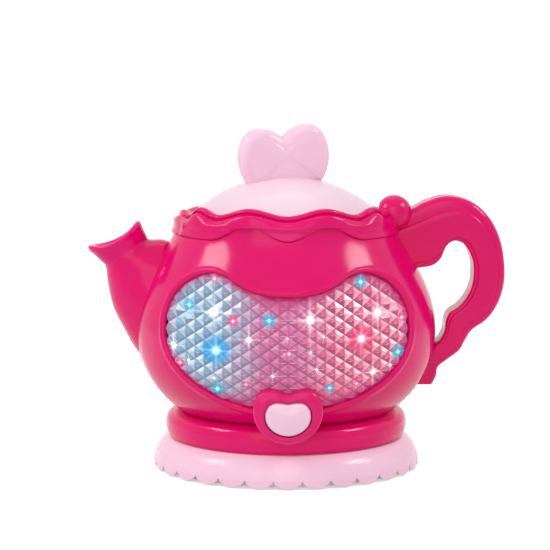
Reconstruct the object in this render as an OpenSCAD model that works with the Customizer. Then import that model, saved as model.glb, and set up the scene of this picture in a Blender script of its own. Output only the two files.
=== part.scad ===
// Toy teapot with a lighted facet window, a heart push button, a lift-off lid and a scalloped base.
// Millimetres. The origin is the middle of the base on the table, +Z is up,
// +X points to the handle, -X to the spout and -Y to the front window.

/* [Pot body] */
// Radius of the pot's foot
foot_r = 51.5; // [50:0.1:53]
// How far the belly bulges past the foot
belly_bulge = 20.3; // [19:0.1:22]
// Height from the pot's foot up to the belly
belly_rise = 37.7; // [36:0.1:39]
// Height from the belly up to the open top
shoulder_rise = 53; // [51:0.5:55]
// How much wider the open top is than the foot, in radius
mouth_spread = 0.8; // [0:0.1:2]
// Wall of the pink mouldings
wall = 2.2; // [1.8:0.1:2.4]
// Width of the floor flange inside the pot's foot
floor_flange_w = 11; // [10:0.5:12]

/* [Front cover] */
// Distance of the front cover's edge from the middle plane
cover_y = 23; // [22:0.5:24]
// How far the front cover stands proud of the pot
cover_step = 0.9; // [0.6:0.1:1.2]
// Radius of the bosses that hold the front cover
cover_boss_r = 3.4; // [3:0.1:3.8]

/* [Facet window] */
// Distance of the window's sides from the belly's sides
lens_margin = 15.1; // [14.5:0.1:16]
// Depth of the window's lobes below the open top
lens_top_drop = 20.7; // [20:0.1:21.4]
// Height of the window's widest point above the belly
lens_side_rise = 5.3; // [4.5:0.1:6]
// Depth of the dip between the two lobes
lens_dip = 9.7; // [9:0.1:10.5]
// Height of the window's lowest point above the pot's foot
lens_low_rise = 7.1; // [6.4:0.1:7.8]
// Depth of the lens face below the cover's face
lens_recess = 1.1; // [0.8:0.1:1.4]
// Thickness of the lens flange behind the cover
lens_flange_t = 1.2; // [1:0.1:1.4]
// Width of the lens flange behind the cover
lens_flange_w = 2.4; // [2:0.1:2.8]
// Depth of the reflector tray behind the lens
tray_depth = 10; // [8:0.5:11]
// Wall of the reflector tray
tray_wall = 1.2; // [1:0.1:1.4]

/* [Heart button] */
// Width of the heart-shaped bezel
bezel_w = 31.7; // [30:0.1:33]
// Height of the bezel
bezel_h = 25.2; // [24:0.1:26.5]
// How far the bezel hangs below the pot's foot
bezel_hang = 6.3; // [5.5:0.1:6.8]
// Depth of the bezel's face behind the belly's front
bezel_sink = 1.6; // [1.2:0.1:2]
// Width of the heart button
button_w = 20.9; // [20:0.1:22]
// Height of the heart button
button_h = 15.5; // [15:0.1:16.5]
// Height of the button's point above the bezel's point
button_rise = 3.9; // [3.5:0.1:4.3]
// How far the button stands out of the bezel
button_proud = 1.6; // [1.2:0.1:2]
// Thickness of the button's cap
button_t = 5; // [4.4:0.1:5.4]
// Travel of the button
button_travel = 2; // [1.5:0.1:2.2]
// Radius of the button's stem
stem_r = 2.4; // [2:0.1:2.8]

/* [Ruffled collar] */
// Distance of the collar's crest inside the open top
collar_inset = 3.7; // [3.2:0.1:4.2]
// Height of the crest's dips above the pot's open top
collar_rise = 4.4; // [4:0.1:5]
// Height of the crest's waves
collar_wave = 3.4; // [2.5:0.1:4]
// Number of waves in a full turn, at the spacing of the collar's front
collar_waves = 9; // [7:1:11]
// How far the crest's dips at both sides lie below the one at the front
collar_side_drop = 1.8; // [1.2:0.1:2]
// Height of the waves along the collar's lower edge
hem_wave = 6.3; // [5:0.1:7]
// Thickness of the collar's rim
collar_t = 1.5; // [1.2:0.1:1.8]
// Thickness of the collar's lower edge, outside the pot
hem_t = 0.9; // [0.7:0.1:1.3]
// Radius of the ball where the handle meets the collar
lobe_r = 8.4; // [8:0.1:8.8]

/* [Lid] */
// Distance of the lid's edge inside the open top
lid_inset = 8.1; // [7.8:0.1:8.8]
// Radius of the sphere that the lid's dome is part of
dome_r = 66; // [62:0.5:70]
// Height of the lid's rim band
lid_band = 3.6; // [3:0.1:4]
// Wall of the lid
lid_wall = 2; // [1.6:0.1:2.2]
// Turn of the heart knob on the lid, in degrees
knob_turn = 20; // [0:1:30]
// Roll of the heart knob in its own plane, in degrees
knob_roll = 5; // [0:0.5:7]
// Width of the heart knob
knob_w = 45.2; // [43:0.2:47]
// Height of the heart knob
knob_h = 28.6; // [27:0.2:30]
// Thickness of the heart knob
knob_t = 13; // [12:0.2:14]
// Radius of the knob's rounded edge
knob_edge = 4.6; // [4:0.1:5.2]
// Height that the lid lifts in use
lid_lift = 40; // [30:1:45]

/* [Tea well] */
// Distance of the well's inside from the lid's edge
well_inset = 5.2; // [4.8:0.1:7]
// Depth of the well
well_depth = 14; // [12:0.5:16]
// Wall of the well
well_wall = 1.8; // [1.5:0.1:2]

/* [Spout] */
// Reach of the spout's seam from the belly
spout_reach = 14.5; // [13.5:0.1:15.5]
// Height of the spout from its root to its seam
spout_h = 64.5; // [62:0.5:67]
// Width of the spout at its seam
spout_mouth_w = 21.6; // [21:0.1:22.6]
// Width of the spout at its root
spout_root_w = 44; // [42:0.5:45]
// Length of the flared lip beyond the seam
lip_len = 11.7; // [10.7:0.1:12.7]
// Width across the lip's mouth
lip_w = 25; // [24:0.2:26]
// Tilt of the lip's mouth against the spout's seam, in degrees
lip_tilt = 5.4; // [3:0.1:8]
// Thickness of the lip's soft rim
lip_wall = 2.6; // [2.2:0.1:3]
// Height of the rounding on the lip's rim
lip_round = 1.9; // [1.4:0.1:2.4]
// Depth of the hollow in the lip
lip_hollow = 8; // [6:0.1:9]
// Dip of the lip's rim between its two points
lip_saddle = 3.4; // [2.5:0.1:4]

/* [Handle] */
// Reach of the handle beyond the belly
handle_reach = 32.5; // [31:0.5:34]
// Height of the handle
handle_h = 90.1; // [88:0.5:92]
// Height of the handle's lowest point above the pot's foot
handle_rise = 11.2; // [10.5:0.1:12]
// Thickness of the handle from front to back
handle_t = 20; // [18:0.5:22]
// Depth of the raised face on each side of the handle
handle_face_t = 2.2; // [1.8:0.1:2.6]

/* [Base] */
// How far the skirt reaches out past the base ring
skirt_flare = 5.9; // [5:0.1:7]
// Height of the skirt's top above the table
skirt_h = 15; // [14.5:0.1:15.5]
// Distance of the skirt's top edge inside the base ring
skirt_inset = 3; // [2.6:0.1:3.4]
// Height of the scallops' tips above the table
skirt_lift = 0.6; // [0.4:0.1:0.8]
// Number of scallops
scallops = 30; // [26:1:34]
// Depth of the notches between the scallops
scallop_depth = 3.4; // [2.8:0.1:3.8]
// Wall of the skirt
skirt_wall = 2; // [1.8:0.1:2.2]
// How far the base ring reaches out past the pot's foot
ring_overhang = 6.5; // [6:0.1:7]
// Height of the base ring
ring_h = 13.1; // [12.8:0.1:13.6]
// Width of the flat deck on top of the base ring
deck_w = 17; // [16:0.5:18]
// Height of the bottom plate's underside above the table
plate_z = 1.2; // [1:0.1:1.4]
// Thickness of the bottom plate
plate_t = 2.4; // [2.2:0.1:2.6]
// Distance of the foot rib, which the toy stands on, inside the skirt's top edge
foot_rib_inset = 2; // [1:0.5:3]
// Width of the foot rib
foot_rib_w = 3; // [2.5:0.1:3.5]

/* [Battery box] */
// Radius of one battery
cell_r = 7.25; // [7.1:0.05:7.25]
// Length of one battery
cell_len = 50.5; // [50:0.1:50.5]
// Room for the contacts at each end of a battery
contact_room = 3; // [2.8:0.1:3.2]
// Wall of the battery box
box_wall = 1.5; // [1.3:0.1:1.6]
// Thickness of the battery door
door_t = 1.4; // [1.2:0.1:1.5]
// Radius of the door's hinge pins
pin_r = 0.75; // [0.7:0.05:0.8]

/* [Electronics] */
// Radius of the speaker
speaker_r = 13.5; // [12.5:0.5:14]
// Height of the speaker
speaker_h = 6; // [5:0.5:7]
// Thickness of the circuit boards
board_t = 1.6; // [1.2:0.1:1.8]
// Radius of the lamps behind the window
led_r = 2.5; // [2.3:0.1:2.6]
// Travel of the power switch
switch_travel = 4; // [3:0.5:4]

/* [Fasteners] */
// Radius of a screw's thread
screw_r = 1.3; // [1.2:0.05:1.4]
// Radius of a screw's head
head_r = 2.8; // [2.6:0.1:3]
// Height of a screw's head
head_h = 1.4; // [1.2:0.1:1.6]
// Radius of the screw bosses
boss_r = 3.6; // [3.4:0.1:3.9]

/* [Fits] */
// Clearance between pieces of the same assembly
fit = 0.15; // [0.12:0.01:0.2]
// Clearance of a pin or stem in its hole
running = 0.08; // [0.05:0.01:0.1]
// Clearance around pieces that move
play = 0.3; // [0.25:0.05:0.35]

/* [Hidden] */
$fn = 72;

// Radii that follow from the foot and from each other
belly_r = foot_r + belly_bulge;
mouth_r = foot_r + mouth_spread;
ring_r = foot_r + ring_overhang;
ring_shoulder = 10;
ring_top_r = ring_r - ring_shoulder;
deck_hole_r = ring_top_r - deck_w;
skirt_r = ring_r + skirt_flare;
skirt_top_r = ring_r - skirt_inset;
foot_rib_r = skirt_top_r - foot_rib_inset;
collar_r = mouth_r - collar_inset;
lid_r = mouth_r - lid_inset;
well_r = lid_r - well_inset;

// Heights of the stack, from the table up
ring_z = skirt_h + fit;
deck_z = ring_z + ring_h;
foot_z = deck_z + fit;
belly_z = foot_z + belly_rise;
mouth_z = belly_z + shoulder_rise;
plate_top = plate_z + plate_t;

// Sizes that reach past every piece, for cuts
over = 1;
reach = belly_r + handle_reach;
tall = mouth_z + knob_h;

// Shares of the pot's outline: where its two curves have their handles
low_curve_shares = [[0.42, 0.15], [1, 0.47]];
high_curve_shares = [[1, 0.47], [-0.08, 0.8]];
pot_steps = 7;

function bez(p, n) = [
    for (i = [0:n])
        let(t = i / n, u = 1 - t)
            u * u * u * p[0] + 3 * u * u * t * p[1] + 3 * u * t * t * p[2] + t * t * t * p[3]
];
function tail(v) = [for (i = [1:1:len(v) - 1]) v[i]];
function body_of(v) = [for (i = [1:1:len(v) - 2]) v[i]];
function reverse(v) = [for (i = [len(v) - 1:-1:0]) v[i]];
function mix(a, b, s) = a + (b - a) * s;
function flip_x(v) = [for (p = v) [-p[0], p[1]]];
// A smooth curve through the points of v, with k steps between each two
function curve_at(a, b, c, d, t) =
    (2 * b + (c - a) * t + (2 * a - 5 * b + 4 * c - d) * t * t + (3 * b - a - 3 * c + d) * t * t * t) / 2;
function smooth(v, k) = concat(
    [for (i = [0:len(v) - 2], j = [0:k - 1])
        curve_at(v[max(i - 1, 0)], v[i], v[i + 1], v[min(i + 2, len(v) - 1)], j / k)],
    [v[len(v) - 1]]
);

// The pot's outline from foot to mouth, as radius and height
pot_low = bez([
    [foot_r, foot_z],
    [mix(foot_r, belly_r, low_curve_shares[0][0]), foot_z + low_curve_shares[0][1] * belly_rise],
    [mix(foot_r, belly_r, low_curve_shares[1][0]), foot_z + low_curve_shares[1][1] * belly_rise],
    [belly_r, belly_z]
], pot_steps);
pot_high = bez([
    [belly_r, belly_z],
    [mix(mouth_r, belly_r, high_curve_shares[0][0]), belly_z + high_curve_shares[0][1] * shoulder_rise],
    [mix(mouth_r, belly_r, high_curve_shares[1][0]), belly_z + high_curve_shares[1][1] * shoulder_rise],
    [mouth_r, mouth_z]
], pot_steps);
pot_line = concat(pot_low, tail(pot_high));
pot_table = [for (p = pot_line) [p[1], p[0]]];

// An upright outline moved out by d, with both ends kept at their height
function moved_line(p, d) = [
    for (i = [0:len(p) - 1])
        let(a = p[max(i - 1, 0)], b = p[min(i + 1, len(p) - 1)], t = (b - a) / norm(b - a))
            (i == 0 || i == len(p) - 1) ? p[i] + [d / t[1], 0] : p[i] + d * [t[1], -t[0]]
];
// A closed counter-clockwise outline grown by g
function grown(p, g) = [
    for (i = [0:len(p) - 1])
        let(n = len(p), a = p[(i + n - 1) % n], b = p[(i + 1) % n], t = (b - a) / norm(b - a))
            p[i] + g * [t[1], -t[0]]
];
function pot_r(z) = lookup(z, pot_table);

// The pot as a full solid, and as a shell between two distances from its surface
module pot_solid(d) {
    line = moved_line(pot_line, d);
    rotate_extrude() polygon(concat([[0, foot_z]], line, [[0, mouth_z]]));
}
module pot_shell(outer, inner) {
    rotate_extrude() polygon(concat(moved_line(pot_line, outer), reverse(moved_line(pot_line, inner))));
}
// Everything between two planes across the depth
module zone(y0, y1) translate([-reach - over, y0, 0]) cube([2 * (reach + over), y1 - y0, tall]);
// A flat front-view outline given depth from y0 to y1
module slab(y0, y1, outline) translate([0, y1, 0]) rotate([90, 0, 0]) linear_extrude(y1 - y0) polygon(outline);
// A round rod along the depth from y0 to y1
module rod(x, z, y0, y1, r) translate([x, y1, z]) rotate([90, 0, 0]) cylinder(h = y1 - y0, r = r);
module post(x, y, z0, z1, r) translate([x, y, z0]) cylinder(h = z1 - z0, r = r);
module both_sides() {
    children();
    mirror([1, 0, 0]) children();
}
module block(x0, x1, y0, y1, z0, z1) translate([x0, y0, z0]) cube([x1 - x0, y1 - y0, z1 - z0]);

// A closed skin over rings of equal length, capped at both ends. Rings that run out and back, as those of
// half a tube do, are capped by the strip between their two runs.
module skin(rings, out_and_back = false) {
    m = len(rings[0]);
    n = len(rings);
    sides = [
        for (i = [0:n - 2], j = [0:m - 1])
            for (half = [0, 1])
                half == 0
                    ? [i * m + j, (i + 1) * m + j, (i + 1) * m + (j + 1) % m]
                    : [i * m + j, (i + 1) * m + (j + 1) % m, i * m + (j + 1) % m]
    ];
    last = (n - 1) * m;
    caps = out_and_back
        ? concat(
            [for (j = [0:m / 2 - 2]) [j, j + 1, m - 2 - j, m - 1 - j]],
            [for (j = [0:m / 2 - 2]) [last + m - 1 - j, last + m - 2 - j, last + j + 1, last + j]]
        )
        : [[for (j = [0:m - 1]) j], [for (j = [m - 1:-1:0]) last + j]];
    polyhedron(points = [for (r = rings) for (p = r) p], faces = concat(sides, caps), convexity = 8);
}
// A closed skin over rings that run all the way round
module skin_loop(rings) {
    m = len(rings[0]);
    n = len(rings);
    sides = [
        for (i = [0:n - 1], j = [0:m - 1])
            for (half = [0, 1])
                let(k = (i + 1) % n)
                    half == 0
                        ? [i * m + j, k * m + j, k * m + (j + 1) % m]
                        : [i * m + j, k * m + (j + 1) % m, i * m + (j + 1) % m]
    ];
    polyhedron(points = [for (r = rings) for (p = r) p], faces = sides, convexity = 8);
}

// The window's outline: two lobes, a dip at the top and a full curve below
lens_curve_shares = [[0.53, 0], [1, 0.6], [1, 0.76], [0.71, 1], [0.43, 1], [0.42, 0]];
lens_half_w = belly_r - lens_margin;
lens_lobe_share = 0.594;
lens_top_z = mouth_z - lens_top_drop;
lens_side_z = belly_z + lens_side_rise;
lens_low_z = foot_z + lens_low_rise;
lens_dip_z = lens_top_z - lens_dip;
lens_half = concat(
    bez([
        [0, lens_low_z],
        [lens_curve_shares[0][0] * lens_half_w, lens_low_z],
        [lens_half_w, mix(lens_side_z, lens_low_z, lens_curve_shares[1][1])],
        [lens_half_w, lens_side_z]
    ], 8),
    tail(bez([
        [lens_half_w, lens_side_z],
        [lens_half_w, mix(lens_side_z, lens_top_z, lens_curve_shares[2][1])],
        [lens_curve_shares[3][0] * lens_half_w, lens_top_z],
        [lens_lobe_share * lens_half_w, lens_top_z]
    ], 6)),
    tail(bez([
        [lens_lobe_share * lens_half_w, lens_top_z],
        [lens_curve_shares[4][0] * lens_half_w, lens_top_z],
        [lens_curve_shares[5][0] * lens_half_w, lens_dip_z],
        [0, lens_dip_z]
    ], 5))
);
lens_outline = concat(lens_half, flip_x(reverse(body_of(lens_half))));

// A heart with soft lobes and a round foot at height z0, with a dip between the lobes
bezel_dip_share = 0.085;
button_dip_share = 0.04;
function heart(w, h, z0, dip_share) =
    let(
        top = z0 + h,
        dip = top - dip_share * h,
        half = concat(
            bez([[0, z0], [0.23 * w, z0], [0.5 * w, z0 + 0.22 * h], [0.5 * w, z0 + 0.6 * h]], 6),
            tail(bez([[0.5 * w, z0 + 0.6 * h], [0.5 * w, z0 + 0.84 * h], [0.39 * w, top], [0.24 * w, top]], 4)),
            tail(bez([[0.24 * w, top], [0.14 * w, top], [0.06 * w, mix(dip, top, 0.2)], [0, dip]], 3))
        )
    )
    concat(half, flip_x(reverse(body_of(half))));

// Places of the heart button
bezel_low = foot_z - bezel_hang;
bezel_y = -(belly_r - bezel_sink);
button_low = bezel_low + button_rise;
button_y = bezel_y - button_proud;
button_back = button_y + button_t;
sleeve_wall = 1.2;
pocket_floor_t = 1.5;
pocket_floor_y = -(ring_r + 2 * play);
pocket_y = pocket_floor_y - pocket_floor_t;
stem_z = button_low + button_h / 2;
stem_collar_t = 1.2;
stem_end = pocket_floor_y + play + stem_collar_t + play;
button_outline = heart(button_w, button_h, button_low, button_dip_share);
bezel_outline = heart(bezel_w, bezel_h, bezel_low, bezel_dip_share);
pocket_outline = grown(button_outline, play);
sleeve_outline = grown(pocket_outline, sleeve_wall);
land_outline = grown(bezel_outline, -sleeve_wall);

// Places of the screws that close the two body halves, near the pot's wall in the middle plane
shell_boss_gap = 2.7;
shell_bosses = [
    for (z = [belly_z + 0.78 * shoulder_rise, foot_z + 0.26 * belly_rise])
        [pot_r(z) - wall - shell_boss_gap - boss_r, z]
];
boss_front_len = 3 * boss_r;
// Places of the screws that hold the front cover, near the pot's wall at the cover's edge
cover_boss_gap = 1.2;
cover_bosses = [
    for (z = [belly_z + 0.6 * shoulder_rise, foot_z + 0.47 * belly_rise])
        [sqrt(pow(pot_r(z) - wall, 2) - pow(cover_y, 2)) - cover_boss_gap - head_r, z]
];
cover_inner = cover_step - wall;
tab_t = 2 * head_h;
screw_len = 4 * head_r;

module front_cover() {
    color([0.88, 0.13, 0.45]) difference() {
        union() {
            intersection() {
                pot_shell(cover_step, cover_inner);
                zone(-reach, -cover_y);
            }
            intersection() {
                both_sides() for (b = cover_bosses) rod(b[0], b[1], -belly_r, -cover_y, cover_boss_r);
                pot_solid(cover_step - wall / 2);
            }
        }
        difference() {
            slab(-reach, -cover_y, lens_outline);
            slab(-reach - over, -cover_y + over, land_outline);
        }
        slab(-reach, -cover_y, grown(sleeve_outline, fit));
        both_sides() for (b = cover_bosses) rod(b[0], b[1], -cover_y - screw_len, -cover_y + over, screw_r + fit / 2);
    }
}

module body_half_shell(y0, y1) {
    intersection() {
        union() {
            pot_shell(0, -wall);
            difference() {
                post(0, 0, foot_z, foot_z + wall, foot_r - wall / 2);
                post(0, 0, foot_z - over, foot_z + wall + over, foot_r - floor_flange_w);
            }
        }
        zone(y0, y1);
    }
}
// Places of the screws between the deck and the pot's floor
deck_screw_r = foot_r - floor_flange_w / 2 - head_r / 2;
deck_screw_turn = asin((cover_y - 1.5 * boss_r) / deck_screw_r);
deck_boss_h = 8;
floor_bar_w = 6;
module at_deck_screws(side) {
    for (a = [deck_screw_turn, 180 - deck_screw_turn])
        rotate(side * a) translate([deck_screw_r, 0, 0]) children();
}

module body_front_half() {
    color([0.87, 0.12, 0.43]) difference() {
        union() {
            body_half_shell(-cover_y + fit, -fit / 2);
            intersection() {
                pot_solid(-wall / 2);
                union() {
                    both_sides() for (b = shell_bosses) {
                        rod(b[0], b[1], -boss_front_len, -fit / 2, boss_r);
                        block(b[0], b[0] + 2 * boss_r + wall, -boss_front_len, -fit / 2,
                              b[1] - wall / 2, b[1] + wall / 2);
                    }
                    both_sides() for (b = cover_bosses)
                        block(b[0] - cover_boss_r, b[0] + 3 * cover_boss_r, -cover_y + fit, -cover_y + fit + tab_t,
                              b[1] - cover_boss_r, b[1] + cover_boss_r);
                }
            }
            at_deck_screws(-1) translate([0, 0, foot_z]) cylinder(h = deck_boss_h, r = boss_r);
            block(-foot_r + floor_flange_w, foot_r - floor_flange_w, -cover_y + fit, -cover_y + fit + floor_bar_w,
                  foot_z, foot_z + wall);
        }
        both_sides() for (b = shell_bosses) rod(b[0], b[1], -boss_front_len + wall, over, screw_r + fit / 2);
        both_sides() for (b = cover_bosses)
            rod(b[0], b[1], -cover_y - over, -cover_y + tab_t + over, screw_r + fit);
        at_deck_screws(-1) translate([0, 0, foot_z - over])
            cylinder(h = deck_boss_h - wall + over, r = screw_r + fit / 2);
    }
}

well_head_depth = 6;
function rear_wall_y(b) = sqrt(pow(pot_r(b[1]), 2) - pow(b[0], 2));
module body_rear_half() {
    color([0.86, 0.11, 0.42]) difference() {
        union() {
            body_half_shell(fit / 2, belly_r + over);
            intersection() {
                pot_solid(-wall / 2);
                both_sides() for (b = shell_bosses) rod(b[0], b[1], fit / 2, belly_r, boss_r + wall / 2);
            }
            at_deck_screws(1) translate([0, 0, foot_z]) cylinder(h = deck_boss_h, r = boss_r);
        }
        both_sides() for (b = shell_bosses) {
            rod(b[0], b[1], -over, belly_r, screw_r + fit);
            rod(b[0], b[1], rear_wall_y(b) - well_head_depth, belly_r, head_r + fit);
        }
        at_deck_screws(1) translate([0, 0, foot_z - over])
            cylinder(h = deck_boss_h - wall + over, r = screw_r + fit / 2);
    }
}

// A screw along +Y or -Y with its head at y
module shell_screw(b) {
    y = rear_wall_y(b) - well_head_depth + fit;
    rod(b[0], b[1], y, y + head_h, head_r);
    rod(b[0], b[1], -boss_front_len / 2, y + head_h / 2, screw_r);
}
module shell_screws() {
    color([0.75, 0.76, 0.78]) both_sides() for (b = shell_bosses) shell_screw(b);
}
module cover_screws() {
    y = -cover_y + fit + tab_t + fit;
    color([0.75, 0.76, 0.78]) both_sides() for (b = cover_bosses) {
        rod(b[0], b[1], y, y + head_h, head_r);
        rod(b[0], b[1], -cover_y - screw_len / 2, y + head_h / 2, screw_r);
    }
}

// The spout's stations in its middle plane: lower and upper edge, as shares of its reach and height,
// measured from the belly and from the spout's root, and a share of the root's half width
spout_rise = 2.7;
spout_root_z = foot_z + spout_rise;
spout_low_shares = [[1, 1], [0.93, 0.87], [0.76, 0.7], [0.42, 0.54], [0, 0.375], [-0.68, 0.2]];
spout_top_shares = [[-0.44, 1.203], [-0.88, 1.2], [-1.23, 1.165], [-1.64, 1.07], [-2.06, 0.95], [-2.47, 0.82]];
spout_width_shares = [0, 0.2, 0.48, 0.75, 0.95, 1];
function spout_edge(s) = [-(belly_r + s[0] * spout_reach), spout_root_z + s[1] * spout_h];
function spout_half_w(i) = mix(spout_mouth_w, spout_root_w, spout_width_shares[i]) / 2;

// One ring of half a tube, outer arc then inner arc, between the edges lo and up, b wide, t thick
arc_steps = 10;
function half_ring(lo, up, b, t) =
    let(c = (lo + up) / 2, a = norm(up - lo) / 2, d = (up - lo) / norm(up - lo))
    concat(
        [for (i = [0:arc_steps]) let(q = 180 * i / arc_steps)
            [c[0] + a * cos(q) * d[0], -b * sin(q), c[1] + a * cos(q) * d[1]]],
        [for (i = [arc_steps:-1:0]) let(q = 180 * i / arc_steps)
            [c[0] + (a - t) * cos(q) * d[0], -(b - t) * sin(q), c[1] + (a - t) * cos(q) * d[1]]]
    );
module spout_half_shape() {
    difference() {
        skin([
            for (i = [0:len(spout_low_shares) - 1])
                half_ring(spout_edge(spout_low_shares[i]), spout_edge(spout_top_shares[i]), spout_half_w(i), wall)
        ], out_and_back = true);
        pot_solid(fit);
    }
}
module spout_front_half() color([0.88, 0.14, 0.45]) translate([0, -fit / 2, 0]) spout_half_shape();
module spout_rear_half() color([0.87, 0.13, 0.44]) translate([0, fit / 2, 0]) mirror([0, 1, 0]) spout_half_shape();

// The flared lip: whole rings round the spout's end, opening to a mouth with two points
lip_steps = 24;
lip_lo = spout_edge(spout_low_shares[0]);
lip_up = spout_edge(spout_top_shares[0]);
lip_along = (lip_up - lip_lo) / norm(lip_up - lip_lo);
lip_out = [-lip_along[1], lip_along[0]];
lip_mid = (lip_lo + lip_up) / 2;
lip_root_a = norm(lip_up - lip_lo) / 2;
lip_flare_share = 0.2;
lip_lean_share = 0.42;
lip_round_share = lip_round / lip_len;
lip_edge_share = 1 - lip_round_share;
lip_outer_shares = [0.02, 0.22, 0.42, 0.62, lip_edge_share];
lip_floor_share = 1 - lip_hollow / lip_len;
lip_inner_share = mix(lip_floor_share, lip_edge_share, 0.5);
lip_round_steps = 4;
// One ring at a share s of the lip's length, drawn in by t
function lip_ring(s, t) =
    let(
        a = lip_root_a * (1 + lip_flare_share * s * s) - t,
        b = mix(spout_mouth_w, lip_w, s * s) / 2 - t,
        turn = lip_tilt * s * s,
        along = lip_along * cos(turn) - lip_out * sin(turn),
        out = lip_along * sin(turn) + lip_out * cos(turn),
        c = lip_mid + lip_out * lip_len * s - lip_along * lip_lean_share * wall * s
    )
    [for (i = [0:lip_steps - 1])
        let(q = 360 * i / lip_steps, rise = max(0, s - lip_floor_share) / (1 - lip_floor_share),
            dip = rise * lip_saddle * pow(sin(q), 2),
            p = c + along * a * cos(q) - out * dip)
            [p[0], -b * sin(q), p[1]]];
module spout_lip() {
    color([0.86, 0.02, 0.45]) skin(concat(
        [for (s = lip_outer_shares) lip_ring(s, 0)],
        [for (i = [1:lip_round_steps])
            let(w = 180 * i / lip_round_steps)
                lip_ring(lip_edge_share + lip_round_share * sin(w), lip_wall * (1 - cos(w)) / 2)],
        [for (s = [lip_inner_share, lip_floor_share]) lip_ring(s, lip_wall)]
    ));
}

// The handle's stations: outer edge and inner edge, as shares of its reach past the belly and of its height
handle_low_z = foot_z + handle_rise;
handle_outer_shares = [
    [-0.6, 0.9], [-0.338, 0.939], [-0.178, 0.97], [0.098, 1], [0.375, 0.988], [0.606, 0.946], [0.806, 0.866],
    [0.938, 0.76], [0.997, 0.638], [0.991, 0.527], [0.898, 0.422], [0.745, 0.344], [0.529, 0.287],
    [0.431, 0.233], [0.345, 0.178], [0.175, 0.131], [0.034, 0.089], [0.005, 0.04], [-0.05, 0]
];
handle_inner_shares = [
    [-0.56, 0.6], [-0.31, 0.62], [-0.08, 0.634], [0.052, 0.671], [0.129, 0.733], [0.246, 0.765], [0.391, 0.749],
    [0.483, 0.699], [0.535, 0.638], [0.529, 0.544], [0.452, 0.472], [0.329, 0.416], [0.197, 0.383],
    [0.138, 0.339], [0.123, 0.289], [0.062, 0.239], [-0.03, 0.205], [-0.178, 0.117], [-0.34, 0]
];
handle_fine = 3;
handle_outer = smooth(handle_outer_shares, handle_fine);
handle_inner = smooth(handle_inner_shares, handle_fine);
function handle_point(s) = [belly_r + s[0] * handle_reach, handle_low_z + s[1] * handle_h];
// The strip of the handle between two shares of its width, from one station to another
function handle_strip(a, b, from, to) = concat(
    [for (i = [from * handle_fine:to * handle_fine]) handle_point(mix(handle_outer[i], handle_inner[i], a))],
    [for (i = [to * handle_fine:-1:from * handle_fine]) handle_point(mix(handle_outer[i], handle_inner[i], b))]
);
handle_last = len(handle_outer_shares) - 1;
face_share = 0.17;
hollow_share = 0.15;
module handle_half_shape() {
    difference() {
        union() {
            slab(-handle_t / 2 + handle_face_t, 0, handle_strip(0, 1, 0, handle_last));
            slab(-handle_t / 2, 0, handle_strip(face_share, 1 - face_share, 0, handle_last - 3));
        }
        slab(-handle_t / 2 + handle_face_t + wall, over,
             handle_strip(hollow_share, 1 - hollow_share, 1, handle_last - 5));
        pot_solid(fit);
        collar_room();
    }
}
module handle_front_half() color([0.89, 0.12, 0.43]) translate([0, -fit / 2, 0]) handle_half_shape();
module handle_rear_half() {
    color([0.88, 0.11, 0.42]) translate([0, fit / 2, 0]) mirror([0, 1, 0]) handle_half_shape();
}

// The collar's waves: even over the front, lower over the back, with a longer dip between them at both sides.
// The turn q is measured from the front.
wave_steps = 12;
collar_steps = wave_steps * collar_waves;
last_crest = 540 / collar_waves;
rear_wave_share = 0.3;
function fold(q) = abs(q) > 90 ? 180 - abs(q) : abs(q);
function side_share(q) = max(0, (fold(q) - last_crest) / (90 - last_crest));
function wave(q) = (1 - cos(min(fold(q), last_crest) * collar_waves + 180 * side_share(q))) / 2;
function crest(q) = (abs(q) > 90 ? rear_wave_share : 1) * wave(q);
function side_drop(q) = collar_side_drop * (abs(q) > 90 ? 1 : (1 - cos(180 * side_share(q))) / 2);
collar_flare = 1.2;
collar_inner_r = lid_r + 2 * play;
spigot_depth = 4.5;
ledge_t = 1.5;
ledge_r = collar_inner_r - 2 * ledge_t;
ledge_z = mouth_z - spigot_depth + ledge_t;
collar_body_r = mouth_r + cover_step + fit;
function collar_section(q) =
    let(
        c = crest(q),
        top = mouth_z + collar_rise + collar_wave * c - side_drop(q),
        neck = max(top - 2.4 * collar_t, mouth_z + 0.7 * collar_t),
        hem = mouth_z - hem_wave * (1 - c) - hem_t / 2,
        hem_r = pot_r(hem) + cover_step + 1.5 * fit,
        out = collar_flare * c
    )
    [
        [ledge_r, mouth_z - spigot_depth],
        [mouth_r - wall - 2 * fit, mouth_z - spigot_depth],
        [mouth_r - wall - 2 * fit, mouth_z + fit],
        [collar_body_r + fit, mouth_z + fit],
        [hem_r, hem],
        [hem_r + hem_t, hem + hem_t / 2],
        [mouth_r + cover_step + collar_t + 0.6 * out, mouth_z],
        [collar_r + 2 * collar_t + out, neck],
        [collar_r + 1.6 * collar_t + out, top - 0.7 * collar_t],
        [collar_r + 0.5 * collar_t + out, top],
        [collar_r - 0.7 * collar_t + 0.6 * out, top - 0.5 * collar_t],
        [collar_inner_r + fit, top - 2.2 * collar_t],
        [collar_inner_r, ledge_z],
        [ledge_r, ledge_z]
    ];
lobe_x = collar_r + 0.3 * lobe_r;
lobe_z = mouth_z + 0.35 * lobe_r;
lobe_front = 0.95 * lobe_r;
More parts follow.
